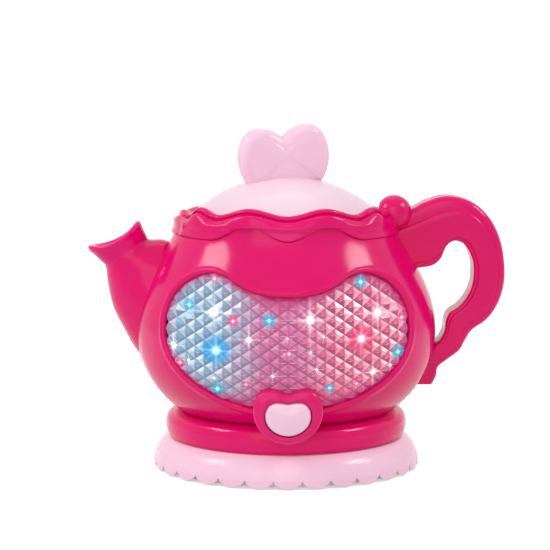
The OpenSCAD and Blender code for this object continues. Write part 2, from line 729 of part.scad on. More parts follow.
// The room that the collar and its ball take outside the pot
module collar_room() {
    low = mouth_z - hem_wave - hem_t;
    r = mouth_r + cover_step + collar_t + collar_flare + fit;
    rotate_extrude() polygon([
        [0, low - fit],
        [pot_r(low) + cover_step + hem_t + 3 * fit, low - fit],
        [r, mouth_z],
        [r, tall],
        [0, tall]
    ]);
    rod(lobe_x, lobe_z, -handle_t, handle_t, lobe_r + fit);
}
module collar_ball() {
    difference() {
        translate([lobe_x, -lobe_front, lobe_z]) sphere(r = lobe_r);
        pot_solid(2 * fit);
        post(0, 0, mouth_z - over, mouth_z + fit, mouth_r + 2 * fit);
        post(0, 0, mouth_z, tall, collar_inner_r);
    }
}
module ruffled_collar() {
    color([0.88, 0.13, 0.44]) union() {
        skin_loop([
            for (i = [0:collar_steps - 1])
                let(q = 360 * i / collar_steps - 180)
                    [for (p = reverse(collar_section(q))) [p[0] * sin(q), -p[0] * cos(q), p[1]]]
        ]);
        collar_ball();
    }
}

// The well hangs by its flange on the collar's ledge and closes the pot under the lid
well_top = ledge_z + fit + well_wall;
module tea_well() {
    color([0.95, 0.6, 0.74]) rotate_extrude() polygon([
        [0, well_top - well_depth],
        [well_r + well_wall, well_top - well_depth],
        [well_r + well_wall, well_top - well_wall],
        [collar_inner_r - fit, well_top - well_wall],
        [collar_inner_r - fit, well_top],
        [well_r, well_top],
        [well_r, well_top - well_depth + well_wall],
        [0, well_top - well_depth + well_wall]
    ]);
}

// The lid: a dome with an upright rim band, resting on the well's flange
lid_z = well_top + play;
lid_edge_z = lid_z + lid_band;
dome_c = lid_edge_z - sqrt(dome_r * dome_r - lid_r * lid_r);
dome_top = dome_c + dome_r;
dome_in = dome_r - lid_wall;
lid_steps = 10;
knob_hole_r = screw_r + fit;
module lid() {
    edge = asin(lid_r / dome_r);
    edge_in = asin((lid_r - lid_wall) / dome_in);
    color([0.97, 0.86, 0.91]) difference() {
        rotate_extrude() polygon(concat(
            [[lid_r - lid_wall, lid_z], [lid_r, lid_z]],
            [for (i = [0:lid_steps]) let(a = edge * (1 - i / lid_steps)) [dome_r * sin(a), dome_c + dome_r * cos(a)]],
            [for (i = [0:lid_steps]) let(a = edge_in * i / lid_steps) [dome_in * sin(a), dome_c + dome_in * cos(a)]]
        ));
        translate([0, 0, dome_c]) cylinder(h = dome_r + over, r = knob_hole_r);
    }
}

// The heart knob: two pillow halves, joined at the heart's own plane and seated on the dome
knob_curve_shares = [
    [0.37, 0], [0.45, 0.12], [0.5, 0.3], [0.5, 0.5], [0.5, 0.76], [0.42, 1], [0.27, 1],
    [0.16, 1], [0.07, 0.92], [0, 0.81]
];
knob_base = dome_top - 0.17 * knob_h;
function knob_at(s) = [s[0] * knob_w, knob_base + s[1] * knob_h];
knob_half = concat(
    [[0, knob_base]],
    bez([for (i = [0:3]) knob_at(knob_curve_shares[i])], 4),
    tail(bez([for (i = [3:6]) knob_at(knob_curve_shares[i])], 5)),
    tail(bez([for (i = [6:9]) knob_at(knob_curve_shares[i])], 4))
);
knob_outline = concat(knob_half, flip_x(reverse(body_of(knob_half))));
edge_steps = 4;
knob_rings = concat(
    [[for (p = knob_outline) [p[0], 0, p[1]]]],
    [for (i = [0:edge_steps])
        let(a = 90 * i / edge_steps, y = knob_t / 2 - knob_edge * (1 - sin(a)), g = knob_edge * (1 - cos(a)))
            [for (p = grown(knob_outline, -g)) [p[0], -y, p[1]]]]
);
module knob_half_shape() {
    difference() {
        translate([0, 0, knob_base]) rotate([0, -knob_roll, 0]) translate([0, 0, -knob_base]) skin(knob_rings);
        translate([0, 0, dome_c]) sphere(r = dome_r + fit);
        post(0, 0, dome_c, knob_base + knob_h / 2, screw_r + fit / 2);
    }
}
module turned() rotate(knob_turn) children();
module heart_knob_front() color([0.95, 0.77, 0.85]) turned() translate([0, -fit / 2, 0]) knob_half_shape();
module heart_knob_rear() {
    color([0.94, 0.76, 0.84]) turned() translate([0, fit / 2, 0]) mirror([0, 1, 0]) knob_half_shape();
}
module knob_screw() {
    top = dome_c + dome_in;
    color([0.75, 0.76, 0.78]) union() {
        post(0, 0, top - fit - head_h, top - fit, head_r);
        post(0, 0, top - fit - head_h / 2, knob_base + 0.4 * knob_h, screw_r);
    }
}

// The lens pane fills the window, and its flange lies behind the cover
lens_face = cover_step - lens_recess;
flange_face = cover_inner - fit;
lens_back = flange_face - lens_flange_t;
module facet_lens() {
    color([0.85, 0.72, 0.85, 0.7]) union() {
        difference() {
            intersection() {
                pot_shell(lens_face, lens_back);
                slab(-belly_r - over, -cover_y, grown(lens_outline, -fit));
            }
            slab(-belly_r - 2 * over, -cover_y + over, grown(land_outline, fit));
        }
        difference() {
            intersection() {
                pot_shell(flange_face, lens_back);
                slab(-belly_r - over, -cover_y, grown(lens_outline, lens_flange_w));
            }
            slab(-belly_r - 2 * over, -cover_y + over, grown(sleeve_outline, 2 * fit));
        }
    }
}

tray_face = lens_back - fit;
tray_back = tray_face - tray_depth;
led_x = 0.533 * lens_half_w;
led_z = belly_z + 0.1 * shoulder_rise;
led_board_y = -(belly_r * 0.63);
led_len = 8.6;
leg_r = 0.3;
module reflector_tray() {
    color([0.92, 0.93, 0.95]) difference() {
        union() {
            difference() {
                intersection() {
                    pot_shell(tray_face, tray_back);
                    slab(-belly_r - over, 0, grown(lens_outline, tray_wall));
                }
                intersection() {
                    pot_shell(tray_face + over, tray_back + tray_wall);
                    slab(-belly_r - 2 * over, over, lens_outline);
                }
            }
            intersection() {
                both_sides() rod(led_x / 2, led_z, -belly_r, led_board_y - fit, led_r);
                pot_solid(tray_back + tray_wall / 2);
            }
        }
        for (x = [-led_x, 0, led_x]) rod(x, led_z, -belly_r, led_board_y + over, led_r + fit);
        slab(-belly_r - 2 * over, over, grown(sleeve_outline, 2 * tray_wall));
    }
}
board_edge = 5;
module led_board() {
    color([0.1, 0.45, 0.25]) block(-led_x - board_edge, led_x + board_edge, led_board_y, led_board_y + board_t,
                                   led_z - board_edge - led_r, led_z + board_edge + led_r);
}
function tray_y(x) = -sqrt(pow(pot_r(led_z) + tray_back, 2) - x * x);
module led(x) {
    front = tray_y(x) - led_len / 3;
    back = min(front + led_len, led_board_y - fit);
    rod(x, led_z, front, back, led_r);
    translate([x, front, led_z]) sphere(r = led_r);
    for (s = [-1, 1]) rod(x + s * led_r / 2, led_z, back - leg_r, led_board_y - fit, leg_r);
}
module leds() color([0.9, 0.95, 1]) for (x = [-led_x, 0, led_x]) led(x);

// The heart bezel: a proud ring over the cover, with a sleeve that guides the button
switch_board_y = stem_end + button_travel + 5 * play + 2 * board_t;
switch_post_x = 7;
switch_post_z = stem_z + 1.4 * stem_r;
module ring_room() {
    rotate_extrude() polygon(concat([[0, ring_z]], ring_curve(fit), [[0, deck_z + fit]]));
}
module button_bezel() {
    color([0.89, 0.17, 0.46]) difference() {
        union() {
            difference() {
                slab(bezel_y, -foot_r, bezel_outline);
                pot_solid(cover_step + fit);
            }
            slab(bezel_y + over, pocket_floor_y, sleeve_outline);
            both_sides() rod(switch_post_x, switch_post_z, pocket_floor_y - pocket_floor_t / 2, switch_board_y - fit, stem_r / 2);
        }
        slab(bezel_y - over, pocket_y, pocket_outline);
        rod(0, stem_z, pocket_y - over, pocket_floor_y + over, stem_r + running);
        rod(0, stem_z, pocket_floor_y, -foot_r + over, 1.5 * stem_r + play);
        ring_room();
    }
}
button_edge = 1.4;
module heart_button() {
    color([0.94, 0.78, 0.85]) union() {
        difference() {
            union() {
                slab(button_y + button_edge, button_back, button_outline);
                slab(button_y + button_edge / 3, button_back, grown(button_outline, -button_edge / 3));
                slab(button_y, button_back, grown(button_outline, -button_edge));
            }
            rod(0, stem_z, button_back - button_t / 2, button_back + over, 2 * stem_r);
        }
        rod(0, stem_z, button_back - button_t / 2 - fit, stem_end, stem_r);
        rod(0, stem_z, pocket_floor_y + play, pocket_floor_y + play + stem_collar_t, 1.5 * stem_r);
    }
}
spring_gap = play;
module button_spring() {
    color([0.8, 0.8, 0.82]) difference() {
        rod(0, stem_z, button_back - button_t / 2 + spring_gap, pocket_y - spring_gap, 1.7 * stem_r);
        rod(0, stem_z, button_back - button_t / 2 - over, pocket_y + over, 1.25 * stem_r);
    }
}
switch_size = 6;
module button_switch() {
    color([0.15, 0.15, 0.17]) union() {
        block(-switch_post_x - stem_r, switch_post_x + stem_r, switch_board_y, switch_board_y + board_t,
              stem_z - 0.8 * switch_size, stem_z + switch_size);
        block(-switch_size / 2, switch_size / 2, switch_board_y - 2 * board_t, switch_board_y + board_t / 2,
              stem_z - switch_size / 2, stem_z + switch_size / 2);
        rod(0, stem_z, stem_end + button_travel + play, switch_board_y - board_t, stem_r / 2);
    }
}

// The base ring: a round band with a deck on top and bosses for the bottom plate
ring_draw = 1.4;
function ring_curve(d) = concat(
    bez([[ring_r - ring_draw + d, ring_z], [ring_r - 0.36 * ring_draw + d, ring_z + 0.12 * ring_h],
         [ring_r + d, ring_z + 0.28 * ring_h], [ring_r + d, ring_z + 0.45 * ring_h]], 3),
    tail(bez([[ring_r + d, ring_z + 0.45 * ring_h], [ring_r + d, ring_z + 0.86 * ring_h],
         [ring_r - 0.4 * ring_shoulder + d, deck_z + d], [ring_top_r, deck_z + d]], 6))
);
// Places of the screws that hold the bottom plate
plate_boss_inset = 11.3;
plate_boss_at = (ring_r - plate_boss_inset) / sqrt(2);
plate_boss_z = plate_top + fit;
module at_plate_screws() for (x = [-1, 1], y = [-1, 1]) translate([x * plate_boss_at, y * plate_boss_at, 0]) children();
module base_ring() {
    inner = ring_r - 2 * wall;
    color([0.84, 0.1, 0.38]) difference() {
        union() {
            rotate_extrude() polygon(concat(
                ring_curve(0),
                [[deck_hole_r, deck_z], [deck_hole_r, deck_z - wall], [ring_top_r, deck_z - wall],
                 [inner, deck_z - 3 * wall], [inner, ring_z]]
            ));
            at_plate_screws() translate([0, 0, plate_boss_z]) cylinder(h = deck_z - wall / 2 - plate_boss_z, r = boss_r);
        }
        at_plate_screws() translate([0, 0, plate_boss_z - over]) cylinder(h = screw_len, r = screw_r + fit / 2);
        for (s = [-1, 1]) at_deck_screws(s) translate([0, 0, deck_z - wall - over])
            cylinder(h = wall + 2 * over, r = screw_r + fit);
    }
}
module deck_screws() {
    color([0.75, 0.76, 0.78]) for (s = [-1, 1]) at_deck_screws(s) {
        translate([0, 0, deck_z - wall - fit - head_h]) cylinder(h = head_h, r = head_r);
        translate([0, 0, deck_z - wall - fit - head_h / 2]) cylinder(h = wall + head_h / 2 + deck_boss_h / 2, r = screw_r);
    }
}

// The scalloped skirt
skirt_draw = 0.9;
function skirt_curve(d) = concat(
    [[skirt_r - d, skirt_lift]],
    bez([[skirt_r - d, 0.27 * skirt_h], [skirt_r - skirt_draw - d, 0.67 * skirt_h],
         [mix(skirt_top_r, skirt_r, 0.5), 0.95 * skirt_h - d], [skirt_top_r - d / 2, skirt_h - d]], 6)
);
skirt_flange_w = 5;
notch_w_share = 0.62;
module skirt_notch() {
    w = 2 * PI * skirt_r / scallops * notch_w_share / 2;
    z1 = skirt_lift + scallop_depth;
    rotate([90, 0, 0]) linear_extrude(skirt_r + over) polygon([
        [-w, skirt_lift - over], [-w, skirt_lift], [-0.42 * w, mix(skirt_lift, z1, 0.42)], [0, z1],
        [0.42 * w, mix(skirt_lift, z1, 0.42)], [w, skirt_lift], [w, skirt_lift - over]
    ]);
}
module scalloped_skirt() {
    color([0.95, 0.79, 0.87]) difference() {
        rotate_extrude() polygon(concat(
            skirt_curve(0),
            [[skirt_top_r - skirt_flange_w, skirt_h], [skirt_top_r - skirt_flange_w, skirt_h - skirt_wall]],
            reverse(skirt_curve(skirt_wall))
        ));
        for (i = [0:scallops - 1]) rotate(360 * (i + 0.5) / scallops) skirt_notch();
    }
}

// The battery box in the bottom plate
cell_gap = fit;
door_z = plate_z;
cell_z = door_z + door_t + play + cell_r;
box_half_x = cell_len / 2 + contact_room;
box_half_y = 3 * cell_r + 2 * cell_gap + play;
box_top = cell_z + cell_r + play;
hinge_x = -box_half_x + pin_r + play;
hinge_z = plate_z + plate_t / 2;
hinge_relief = 2 * play;
door_ear_w = 9;
door_ear_l = 6;
door_screw_x = box_half_x + door_ear_l / 2;
plate_r = skirt_r - skirt_wall - 3 * fit;
switch_gap = 14;
switch_y = -(box_half_y + box_wall + switch_gap);
switch_half_x = 6;
switch_half_y = 3.5;
slider_w = 3;
speaker_y = box_half_y + box_wall + fit + speaker_r;
grille_r = 1.2;
module bottom_plate() {
    color([0.95, 0.79, 0.87]) difference() {
        union() {
            post(0, 0, plate_z, plate_top, plate_r);
            difference() {
                post(0, 0, 0, plate_z + over, foot_rib_r);
                post(0, 0, -over, plate_z + over, foot_rib_r - foot_rib_w);
            }
            block(-box_half_x - box_wall, box_half_x + box_wall, -box_half_y - box_wall, box_half_y + box_wall,
                  plate_top - over, box_top + box_wall);
            post(door_screw_x, 0, plate_top - over, plate_top + 2 * plate_t, boss_r);
        }
        block(-box_half_x, box_half_x, -box_half_y, box_half_y, plate_z - over, box_top);
        block(-box_half_x - hinge_relief, box_half_x, -box_half_y, box_half_y, plate_z - over, plate_top - fit);
        block(box_half_x - over, box_half_x + door_ear_l + play, -door_ear_w / 2 - play, door_ear_w / 2 + play,
              plate_z - over, plate_z + door_t + play);
        rod(hinge_x, hinge_z, -box_half_y - 2 * pin_r - play, box_half_y + 2 * pin_r + play, pin_r + running);
        post(door_screw_x, 0, plate_z, plate_top + 2 * plate_t - over, screw_r + play / 2);
        at_plate_screws() {
            translate([0, 0, plate_z - over]) cylinder(h = head_h + over, r = head_r + play);
            cylinder(h = plate_top + over, r = screw_r + fit);
        }
        block(-slider_w / 2 - switch_travel / 2 - play, slider_w / 2 + switch_travel / 2 + play,
              switch_y - slider_w / 2 - play, switch_y + slider_w / 2 + play, plate_z - over, plate_top + over);
        for (a = [0:60:300]) translate([0, speaker_y, plate_z - over]) rotate(a) translate([speaker_r / 2, 0, 0])
            cylinder(h = plate_t + 2 * over, r = grille_r);
        post(0, speaker_y, plate_z - over, plate_top + over, grille_r);
    }
}
module base_screws() {
    color([0.75, 0.76, 0.78]) at_plate_screws() {
        translate([0, 0, plate_z + fit]) cylinder(h = head_h - fit, r = head_r);
        translate([0, 0, plate_z + head_h / 2]) cylinder(h = screw_len - head_h, r = screw_r);
    }
}
module battery_door() {
    color([0.95, 0.79, 0.87]) difference() {
        union() {
            block(hinge_x - pin_r, box_half_x - play, -box_half_y + play, box_half_y - play, door_z, door_z + door_t);
            block(box_half_x - 2 * play, box_half_x + door_ear_l, -door_ear_w / 2, door_ear_w / 2,
                  door_z, door_z + door_t);
            rod(hinge_x, hinge_z, -box_half_y - 2 * pin_r, box_half_y + 2 * pin_r, pin_r);
        }
        post(door_screw_x, 0, door_z - over, door_z + door_t + over, screw_r + fit);
        post(door_screw_x, 0, door_z - over, door_z + door_t / 2, head_r + fit);
    }
}
module door_screw() {
    color([0.75, 0.76, 0.78]) union() {
        post(door_screw_x, 0, door_z + fit, door_z + door_t / 2 - fit / 2, head_r);
        post(door_screw_x, 0, door_z + fit, plate_top + plate_t, screw_r);
    }
}
module at_cells() for (i = [-1:1]) translate([0, i * (2 * cell_r + cell_gap), cell_z]) rotate([0, 90, 0]) children();
tip_len = 1;
module batteries() {
    color([0.2, 0.45, 0.3]) at_cells() union() {
        translate([0, 0, -cell_len / 2]) cylinder(h = cell_len - tip_len, r = cell_r);
        translate([0, 0, cell_len / 2 - tip_len - fit]) cylinder(h = tip_len + fit, r = 0.35 * cell_r);
    }
}
contact_t = 0.4;
module battery_contacts() {
    color([0.8, 0.8, 0.82]) for (s = [-1, 1], i = [-1:1])
        block(s < 0 ? -box_half_x + fit : box_half_x - fit - contact_t,
              s < 0 ? -box_half_x + fit + contact_t : box_half_x - fit,
              i * (2 * cell_r + cell_gap) - 0.8 * cell_r, i * (2 * cell_r + cell_gap) + 0.8 * cell_r,
              cell_z - 0.8 * cell_r, cell_z + 0.8 * cell_r);
}
module contact_springs() {
    color([0.82, 0.82, 0.84]) at_cells() translate([0, 0, -box_half_x + fit + contact_t + fit]) difference() {
        cylinder(h = contact_room - contact_t - 3 * fit, r1 = 0.6 * cell_r, r2 = 0.4 * cell_r);
        translate([0, 0, -over]) cylinder(h = contact_room + over, r = 0.3 * cell_r);
    }
}

module speaker() {
    color([0.2, 0.2, 0.22]) union() {
        post(0, speaker_y, plate_top + fit, plate_top + fit + speaker_h / 2, speaker_r);
        post(0, speaker_y, plate_top + fit, plate_top + fit + speaker_h, 0.55 * speaker_r);
    }
}
board_half_x = 23;
board_half_y = 17;
board_lift = 1.5;
board_z = box_top + box_wall + 2 * fit + board_lift;
module main_board() {
    color([0.12, 0.5, 0.3]) union() {
        block(-board_half_x, board_half_x, -board_half_y, board_half_y, board_z, board_z + board_t);
        for (x = [-1, 1], y = [-1, 1])
            post(x * (board_half_x - boss_r), y * (board_half_y - boss_r), box_top + box_wall + fit, board_z + board_t / 2,
                 boss_r / 2);
    }
}
module sound_chip() {
    color([0.08, 0.08, 0.09]) translate([0, 0, board_z + board_t + fit])
        cylinder(h = board_t, r1 = board_half_y / 3, r2 = board_half_y / 4);
}
wire_r = 0.5;
wire_pitch = 1.8;
// Wires from the main board to the lamps and to the speaker, each bent at its corners
module wires() {
    up_y = -0.7 * board_half_y;
    lamp_z = led_z - board_edge;
    board_face = board_z + board_t + fit;
    over_z = board_face + 2 * wire_r;
    color([0.8, 0.15, 0.15]) {
        for (i = [-1:1]) translate([i * wire_pitch, 0, 0]) {
            post(0, up_y, board_face, lamp_z, wire_r);
            translate([0, up_y, lamp_z]) sphere(r = 1.2 * wire_r);
            rod(0, lamp_z, led_board_y + board_t + fit, up_y, wire_r);
        }
        for (i = [-0.5, 0.5]) translate([i * wire_pitch, 0, 0]) {
            post(0, -up_y, board_face, over_z, wire_r);
            translate([0, -up_y, over_z]) sphere(r = 1.2 * wire_r);
            rod(0, over_z, -up_y, speaker_y, wire_r);
            translate([0, speaker_y, over_z]) sphere(r = 1.2 * wire_r);
            post(0, speaker_y, plate_top + speaker_h + 2 * fit, over_z, wire_r);
        }
    }
}
module switch_housing() {
    color([0.7, 0.7, 0.72]) difference() {
        block(-switch_half_x, switch_half_x, switch_y - switch_half_y, switch_y + switch_half_y,
              plate_top + fit, plate_top + 2 * switch_half_y);
        block(-slider_w / 2 - switch_travel / 2 - play, slider_w / 2 + switch_travel / 2 + play,
              switch_y - slider_w / 2 - play, switch_y + slider_w / 2 + play,
              plate_top - over, plate_top + switch_half_y + play);
    }
}
module switch_slider() {
    color([0.12, 0.12, 0.13])
        block(-slider_w / 2 - switch_travel / 2, slider_w / 2 - switch_travel / 2,
              switch_y - slider_w / 2, switch_y + slider_w / 2, plate_z / 2, plate_top + switch_half_y);
}

front_cover();
body_front_half();
body_rear_half();
spout_front_half();
spout_rear_half();
spout_lip();
handle_front_half();
handle_rear_half();
ruffled_collar();
tea_well();
lid();
heart_knob_front();
heart_knob_rear();
knob_screw();
facet_lens();
reflector_tray();
led_board();
leds();
button_bezel();
heart_button();
button_spring();
button_switch();
base_ring();
scalloped_skirt();
bottom_plate();
battery_door();
door_screw();
batteries();
battery_contacts();
contact_springs();
speaker();
main_board();
sound_chip();
wires();
switch_housing();
switch_slider();
shell_screws();
cover_screws();
deck_screws();
base_screws();
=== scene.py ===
"""Looks of the toy teapot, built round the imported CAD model.

Lengths in the classes are millimetres, and every mesh is written in metres in the CAD frame:
+Z up, +X to the handle, -X to the spout and -Y to the window and the button.
"""

import logging
from contextlib import contextmanager
from dataclasses import dataclass, field
from enum import Enum
from typing import Iterator, Sequence

import bmesh
import bpy
import numpy as np
from mathutils import Matrix

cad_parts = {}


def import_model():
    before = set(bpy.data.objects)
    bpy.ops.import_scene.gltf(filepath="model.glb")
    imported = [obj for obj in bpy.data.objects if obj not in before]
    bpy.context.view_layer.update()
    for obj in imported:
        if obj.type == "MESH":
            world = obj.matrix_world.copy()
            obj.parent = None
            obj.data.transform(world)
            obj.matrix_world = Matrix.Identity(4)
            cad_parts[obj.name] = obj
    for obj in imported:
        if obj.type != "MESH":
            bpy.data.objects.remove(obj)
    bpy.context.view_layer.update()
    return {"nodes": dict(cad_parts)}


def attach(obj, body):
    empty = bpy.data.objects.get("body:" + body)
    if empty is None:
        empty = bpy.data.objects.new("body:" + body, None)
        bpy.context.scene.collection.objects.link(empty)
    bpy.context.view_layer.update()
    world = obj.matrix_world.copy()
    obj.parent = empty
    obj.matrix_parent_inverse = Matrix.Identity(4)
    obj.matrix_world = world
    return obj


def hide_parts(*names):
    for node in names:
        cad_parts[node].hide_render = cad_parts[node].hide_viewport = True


MM = 0.001
WELD = 0.002 * MM
SLIVER = 0.001 * MM
CROWN = 0.7
TAU = 2 * np.pi
WHITE = (1.0, 1.0, 1.0, 1.0)
log = logging.getLogger("teapot")
Colour = tuple[float, float, float]
Place = tuple[float, float, float]
Array = np.ndarray
Material = bpy.types.Material


class Body(Enum):
    """The bodies that the new pieces ride on."""

    POT = "pot"
    BUTTON = "button"
    LID = "lid_group"


class Slot(Enum):
    """The record's material slots, one kept with each new piece's coat."""

    ROSE = "rose"
    MAGENTA = "magenta"
    BLUSH = "blush"
    PALE_LID = "pale_lid"
    LENS = "lens"


class Ring(Enum):
    """How a grid of points closes on itself: along its rows, and along its columns."""

    OPEN = (False, False)
    ROUND = (True, False)
    TORUS = (True, True)


Grid = tuple[Array, Ring]


def linear(colour: Colour) -> tuple[float, float, float, float]:
    """Turns a display colour, from 0 to 255, into the linear colour that a shader takes."""
    share = np.array(colour, float) / 255
    value = np.where(share <= 0.04045, share / 12.92, ((share + 0.055) / 1.055) ** 2.4)
    return float(value[0]), float(value[1]), float(value[2]), 1.0


def bezier(handles: Sequence[Sequence[float]], steps: int) -> Array:
    """Points of one cubic curve: each is the sum of the four handles weighted by Bernstein's terms.

    Args:
        handles: the curve's four handles.
        steps: number of steps along the curve.

    Returns:
        steps + 1 points.
    """
    p = np.array(handles, float)
    t = np.linspace(0, 1, steps + 1)[:, None]
    u = 1 - t
    return u**3 * p[0] + 3 * u * u * t * p[1] + 3 * u * t * t * p[2] + t**3 * p[3]


def chain(*curves: Array) -> Array:
    """Joins curves end to end, leaving out each repeated point."""
    return np.concatenate([curves[0]] + [c[1:] for c in curves[1:]])


def through(stations: Sequence | Array, steps: int) -> Array:
    """A smooth line through stations: between two of them a cubic with the slope of their neighbours.

    Args:
        stations: points, or whole rings of points, in order.
        steps: number of steps between two stations.

    Returns:
        The finer list of points or rings.
    """
    p = np.asarray(stations, float)
    q = np.concatenate([p[:1], p, p[-1:]])
    t = (np.arange(steps) / steps).reshape((1, steps) + (1,) * (p.ndim - 1))
    a, b, c, d = (q[k:k + len(p) - 1, None] for k in range(4))
    s = (2 * b + (c - a) * t + (2 * a - 5 * b + 4 * c - d) * t**2 + (3 * b - a - 3 * c + d) * t**3) / 2
    return np.concatenate([s.reshape((-1,) + p.shape[1:]), p[-1:]])


def even(curve: Array, count: int) -> Array:
    """Spreads a number of points evenly by length along a closed curve."""
    c = np.concatenate([curve, curve[:1]])
    run = np.concatenate([[0], np.cumsum(np.linalg.norm(np.diff(c, axis=0), axis=1))])
    at = np.linspace(0, run[-1], count, endpoint=False)
    return np.stack([np.interp(at, run, c[:, k]) for k in range(c.shape[1])], axis=1)


def mirrored(half: Array) -> Array:
    """Closes a half outline that starts and ends on the middle line with its mirror image."""
    return np.concatenate([half, (half * [-1, 1])[-2:0:-1]])


def inset(outline: Array, depth: float) -> Array:
    """Draws a closed counter-clockwise outline in by a depth, each point along its own normal."""
    run = np.roll(outline, -1, axis=0) - np.roll(outline, 1, axis=0)
    run = run / np.linalg.norm(run, axis=1, keepdims=True)
    return outline - depth * np.stack([run[:, 1], -run[:, 0]], axis=1)


def rounding(radius: float, steps: int = 5) -> tuple[Array, Array]:
    """A quarter circle as two arrays from 0 to its radius: way along the face, and drop below it."""
    a = np.linspace(0, np.pi / 2, steps + 1)
    return radius * (1 - np.cos(a)), radius * (1 - np.sin(a))


def circle(radius: float, count: int) -> Array:
    """A circle as x and z, from its foot and counter-clockwise."""
    q = np.linspace(0, TAU, count, endpoint=False)
    return radius * np.stack([np.sin(q), -np.cos(q)], axis=1)


def spun(turn: Array, r: Array, z: Array) -> Array:
    """Points at a turn from the front towards the handle, a distance from the axis and a height."""
    return np.stack(np.broadcast_arrays(r * np.sin(turn), -r * np.cos(turn), z), axis=-1)


def lathe(profile: Array, turns: int) -> Array:
    """A profile of radius and height turned round the upright axis."""
    turn = np.linspace(-np.pi, np.pi, turns, endpoint=False)[:, None]
    return spun(turn, profile[None, :, 0], profile[None, :, 1])


def with_ends(rows: Array) -> Array:
    """Closes a run of rings by drawing a copy of its first and last one to their middles."""
    first, last = (np.broadcast_to(rows[k].mean(axis=0), rows[k].shape)[None] for k in (0, -1))
    return np.concatenate([first, rows, last])


@contextmanager
def editing(mesh: bpy.types.Mesh) -> Iterator[bmesh.types.BMesh]:
    """An editable copy of a mesh, which is written back at the end."""
    edit = bmesh.new()
    edit.from_mesh(mesh)
    yield edit
    edit.to_mesh(mesh)
    edit.free()


def added(name: str, data: bpy.types.ID) -> bpy.types.Object:
    """Puts a new object with the given mesh, lamp or camera into the scene."""
    thing = bpy.data.objects.new(name, data)
    bpy.context.scene.collection.objects.link(thing)
    return thing


def smooth_piece(name: str, mesh: bpy.types.Mesh, crease: float) -> bpy.types.Object:
    """Makes a smooth object of a mesh whose edges past an angle in degrees stay sharp."""
    mesh.shade_smooth()
    mesh.set_sharp_from_angle(angle=np.radians(crease))
    return added(name, mesh)


def grid_mesh(name: str, grids: list[Grid]) -> bpy.types.Mesh:
    """Makes a mesh of quads from grids of points in millimetres.

    Args:
        name: the mesh's name.
        grids: each grid, rows by columns by three coordinates, with the way it closes.

    Returns:
        The new mesh.
    """
    start, points, faces = 0, [], []
    for grid, ring in grids:
        rows, columns = grid.shape[:2]
        i = np.arange(rows if ring.value[0] else rows - 1)[:, None]
        j = np.arange(columns if ring.value[1] else columns - 1)[None, :]
        k, m = (i + 1) % rows, (j + 1) % columns
        corners = (i * columns + j, k * columns + j, k * columns + m, i * columns + m)
        faces.append(start + np.stack(corners, axis=2).reshape(-1, 4))
        points.append(grid.reshape(-1, 3))
        start += rows * columns
    mesh = bpy.data.meshes.new(name)
    mesh.from_pydata((np.concatenate(points) * MM).tolist(), [], np.concatenate(faces).tolist())
    return mesh


def joined(name: str, grids: list[Grid], crease: float) -> bpy.types.Object:
    """Makes one object from several grids, welds its seams and turns its faces outwards.

    Args:
        name: the piece's name.
        grids: each grid with the way it closes.
        crease: angle in degrees past which an edge stays sharp.

    Returns:
        The new object.
    """
    mesh = grid_mesh(name, grids)
    with editing(mesh) as edit:
        bmesh.ops.remove_doubles(edit, verts=edit.verts, dist=WELD)
        bmesh.ops.dissolve_degenerate(edit, edges=edit.edges, dist=SLIVER)
        bmesh.ops.recalc_face_normals(edit, faces=edit.faces)
    return smooth_piece(name, mesh, crease)


def heart(width: float, height: float, low: float, dip_share: float, count: int) -> Array:
    """A heart with soft lobes: three cubic curves for its right side, mirrored.

    Args:
        width: width across the lobes.
        height: height from its round foot to the lobes.
        low: height of its foot.
        dip_share: depth of the dip between the lobes, as a share of the height.
        count: number of points.

    Returns:
        The outline as x and z, from its foot and counter-clockwise.
    """
    w, h, top = width, height, low + height
    dip = top - dip_share * h
    half = chain(
        bezier([[0, low], [0.23 * w, low], [0.5 * w, low + 0.22 * h], [0.5 * w, low + 0.6 * h]], 60),
        bezier([[0.5 * w, low + 0.6 * h], [0.5 * w, low + 0.84 * h], [0.39 * w, top], [0.24 * w, top]], 40),
        bezier([[0.24 * w, top], [0.14 * w, top], [0.06 * w, 0.8 * dip + 0.2 * top], [0, dip]], 30),
    )
    return even(mirrored(half), count)


def pillow(outline: Array, middle: Array, edge: float, steps: tuple[int, int]) -> list:
    """Outlines of a cushioned face: a quarter circle at its edge, then a parabola up to its crown.

    Args:
        outline: the face's outline as x and z.
        middle: where the outlines draw together.
        edge: radius of the edge.
        steps: number of steps round the edge and up to the middle.

    Returns:
        Each outline with its height over the top of the edge.
    """
    along, drop = rounding(edge, steps[0])
    rim = inset(outline, along[-1])
    rings = [(inset(outline, a), -d) for a, d in zip(along, drop)]
    ways = np.linspace(0, 1, steps[1])[1:]
    return rings + [(rim + (middle - rim) * s, CROWN * (1 - (1 - s) ** 2)) for s in ways]


def stacked(rings: list[tuple[Array, float]]) -> Array:
    """Puts flat outlines of x and z at their depths y, one column each."""
    return np.stack([np.stack([o[:, 0], np.full(len(o), y), o[:, 1]], axis=1) for o, y in rings], axis=1)


class Wire:
    """A socket that takes plain arithmetic, each step of it one Math node."""

    def __init__(self, graph: "Graph", socket: bpy.types.NodeSocket) -> None:
        """Keeps the graph and the socket."""
        self.graph, self.socket = graph, socket

    def __add__(self, other: object) -> "Wire":
        """The sum."""
        return self.graph.math("ADD", self, other)

    def __sub__(self, other: object) -> "Wire":
        """The difference."""
        return self.graph.math("SUBTRACT", self, other)

    def __mul__(self, other: object) -> "Wire":
        """The product."""
        return self.graph.math("MULTIPLY", self, other)

    def __truediv__(self, other: object) -> "Wire":
        """The quotient."""
        return self.graph.math("DIVIDE", self, other)

    def __abs__(self) -> "Wire":
        """The size without its sign."""
        return self.graph.math("ABSOLUTE", self)


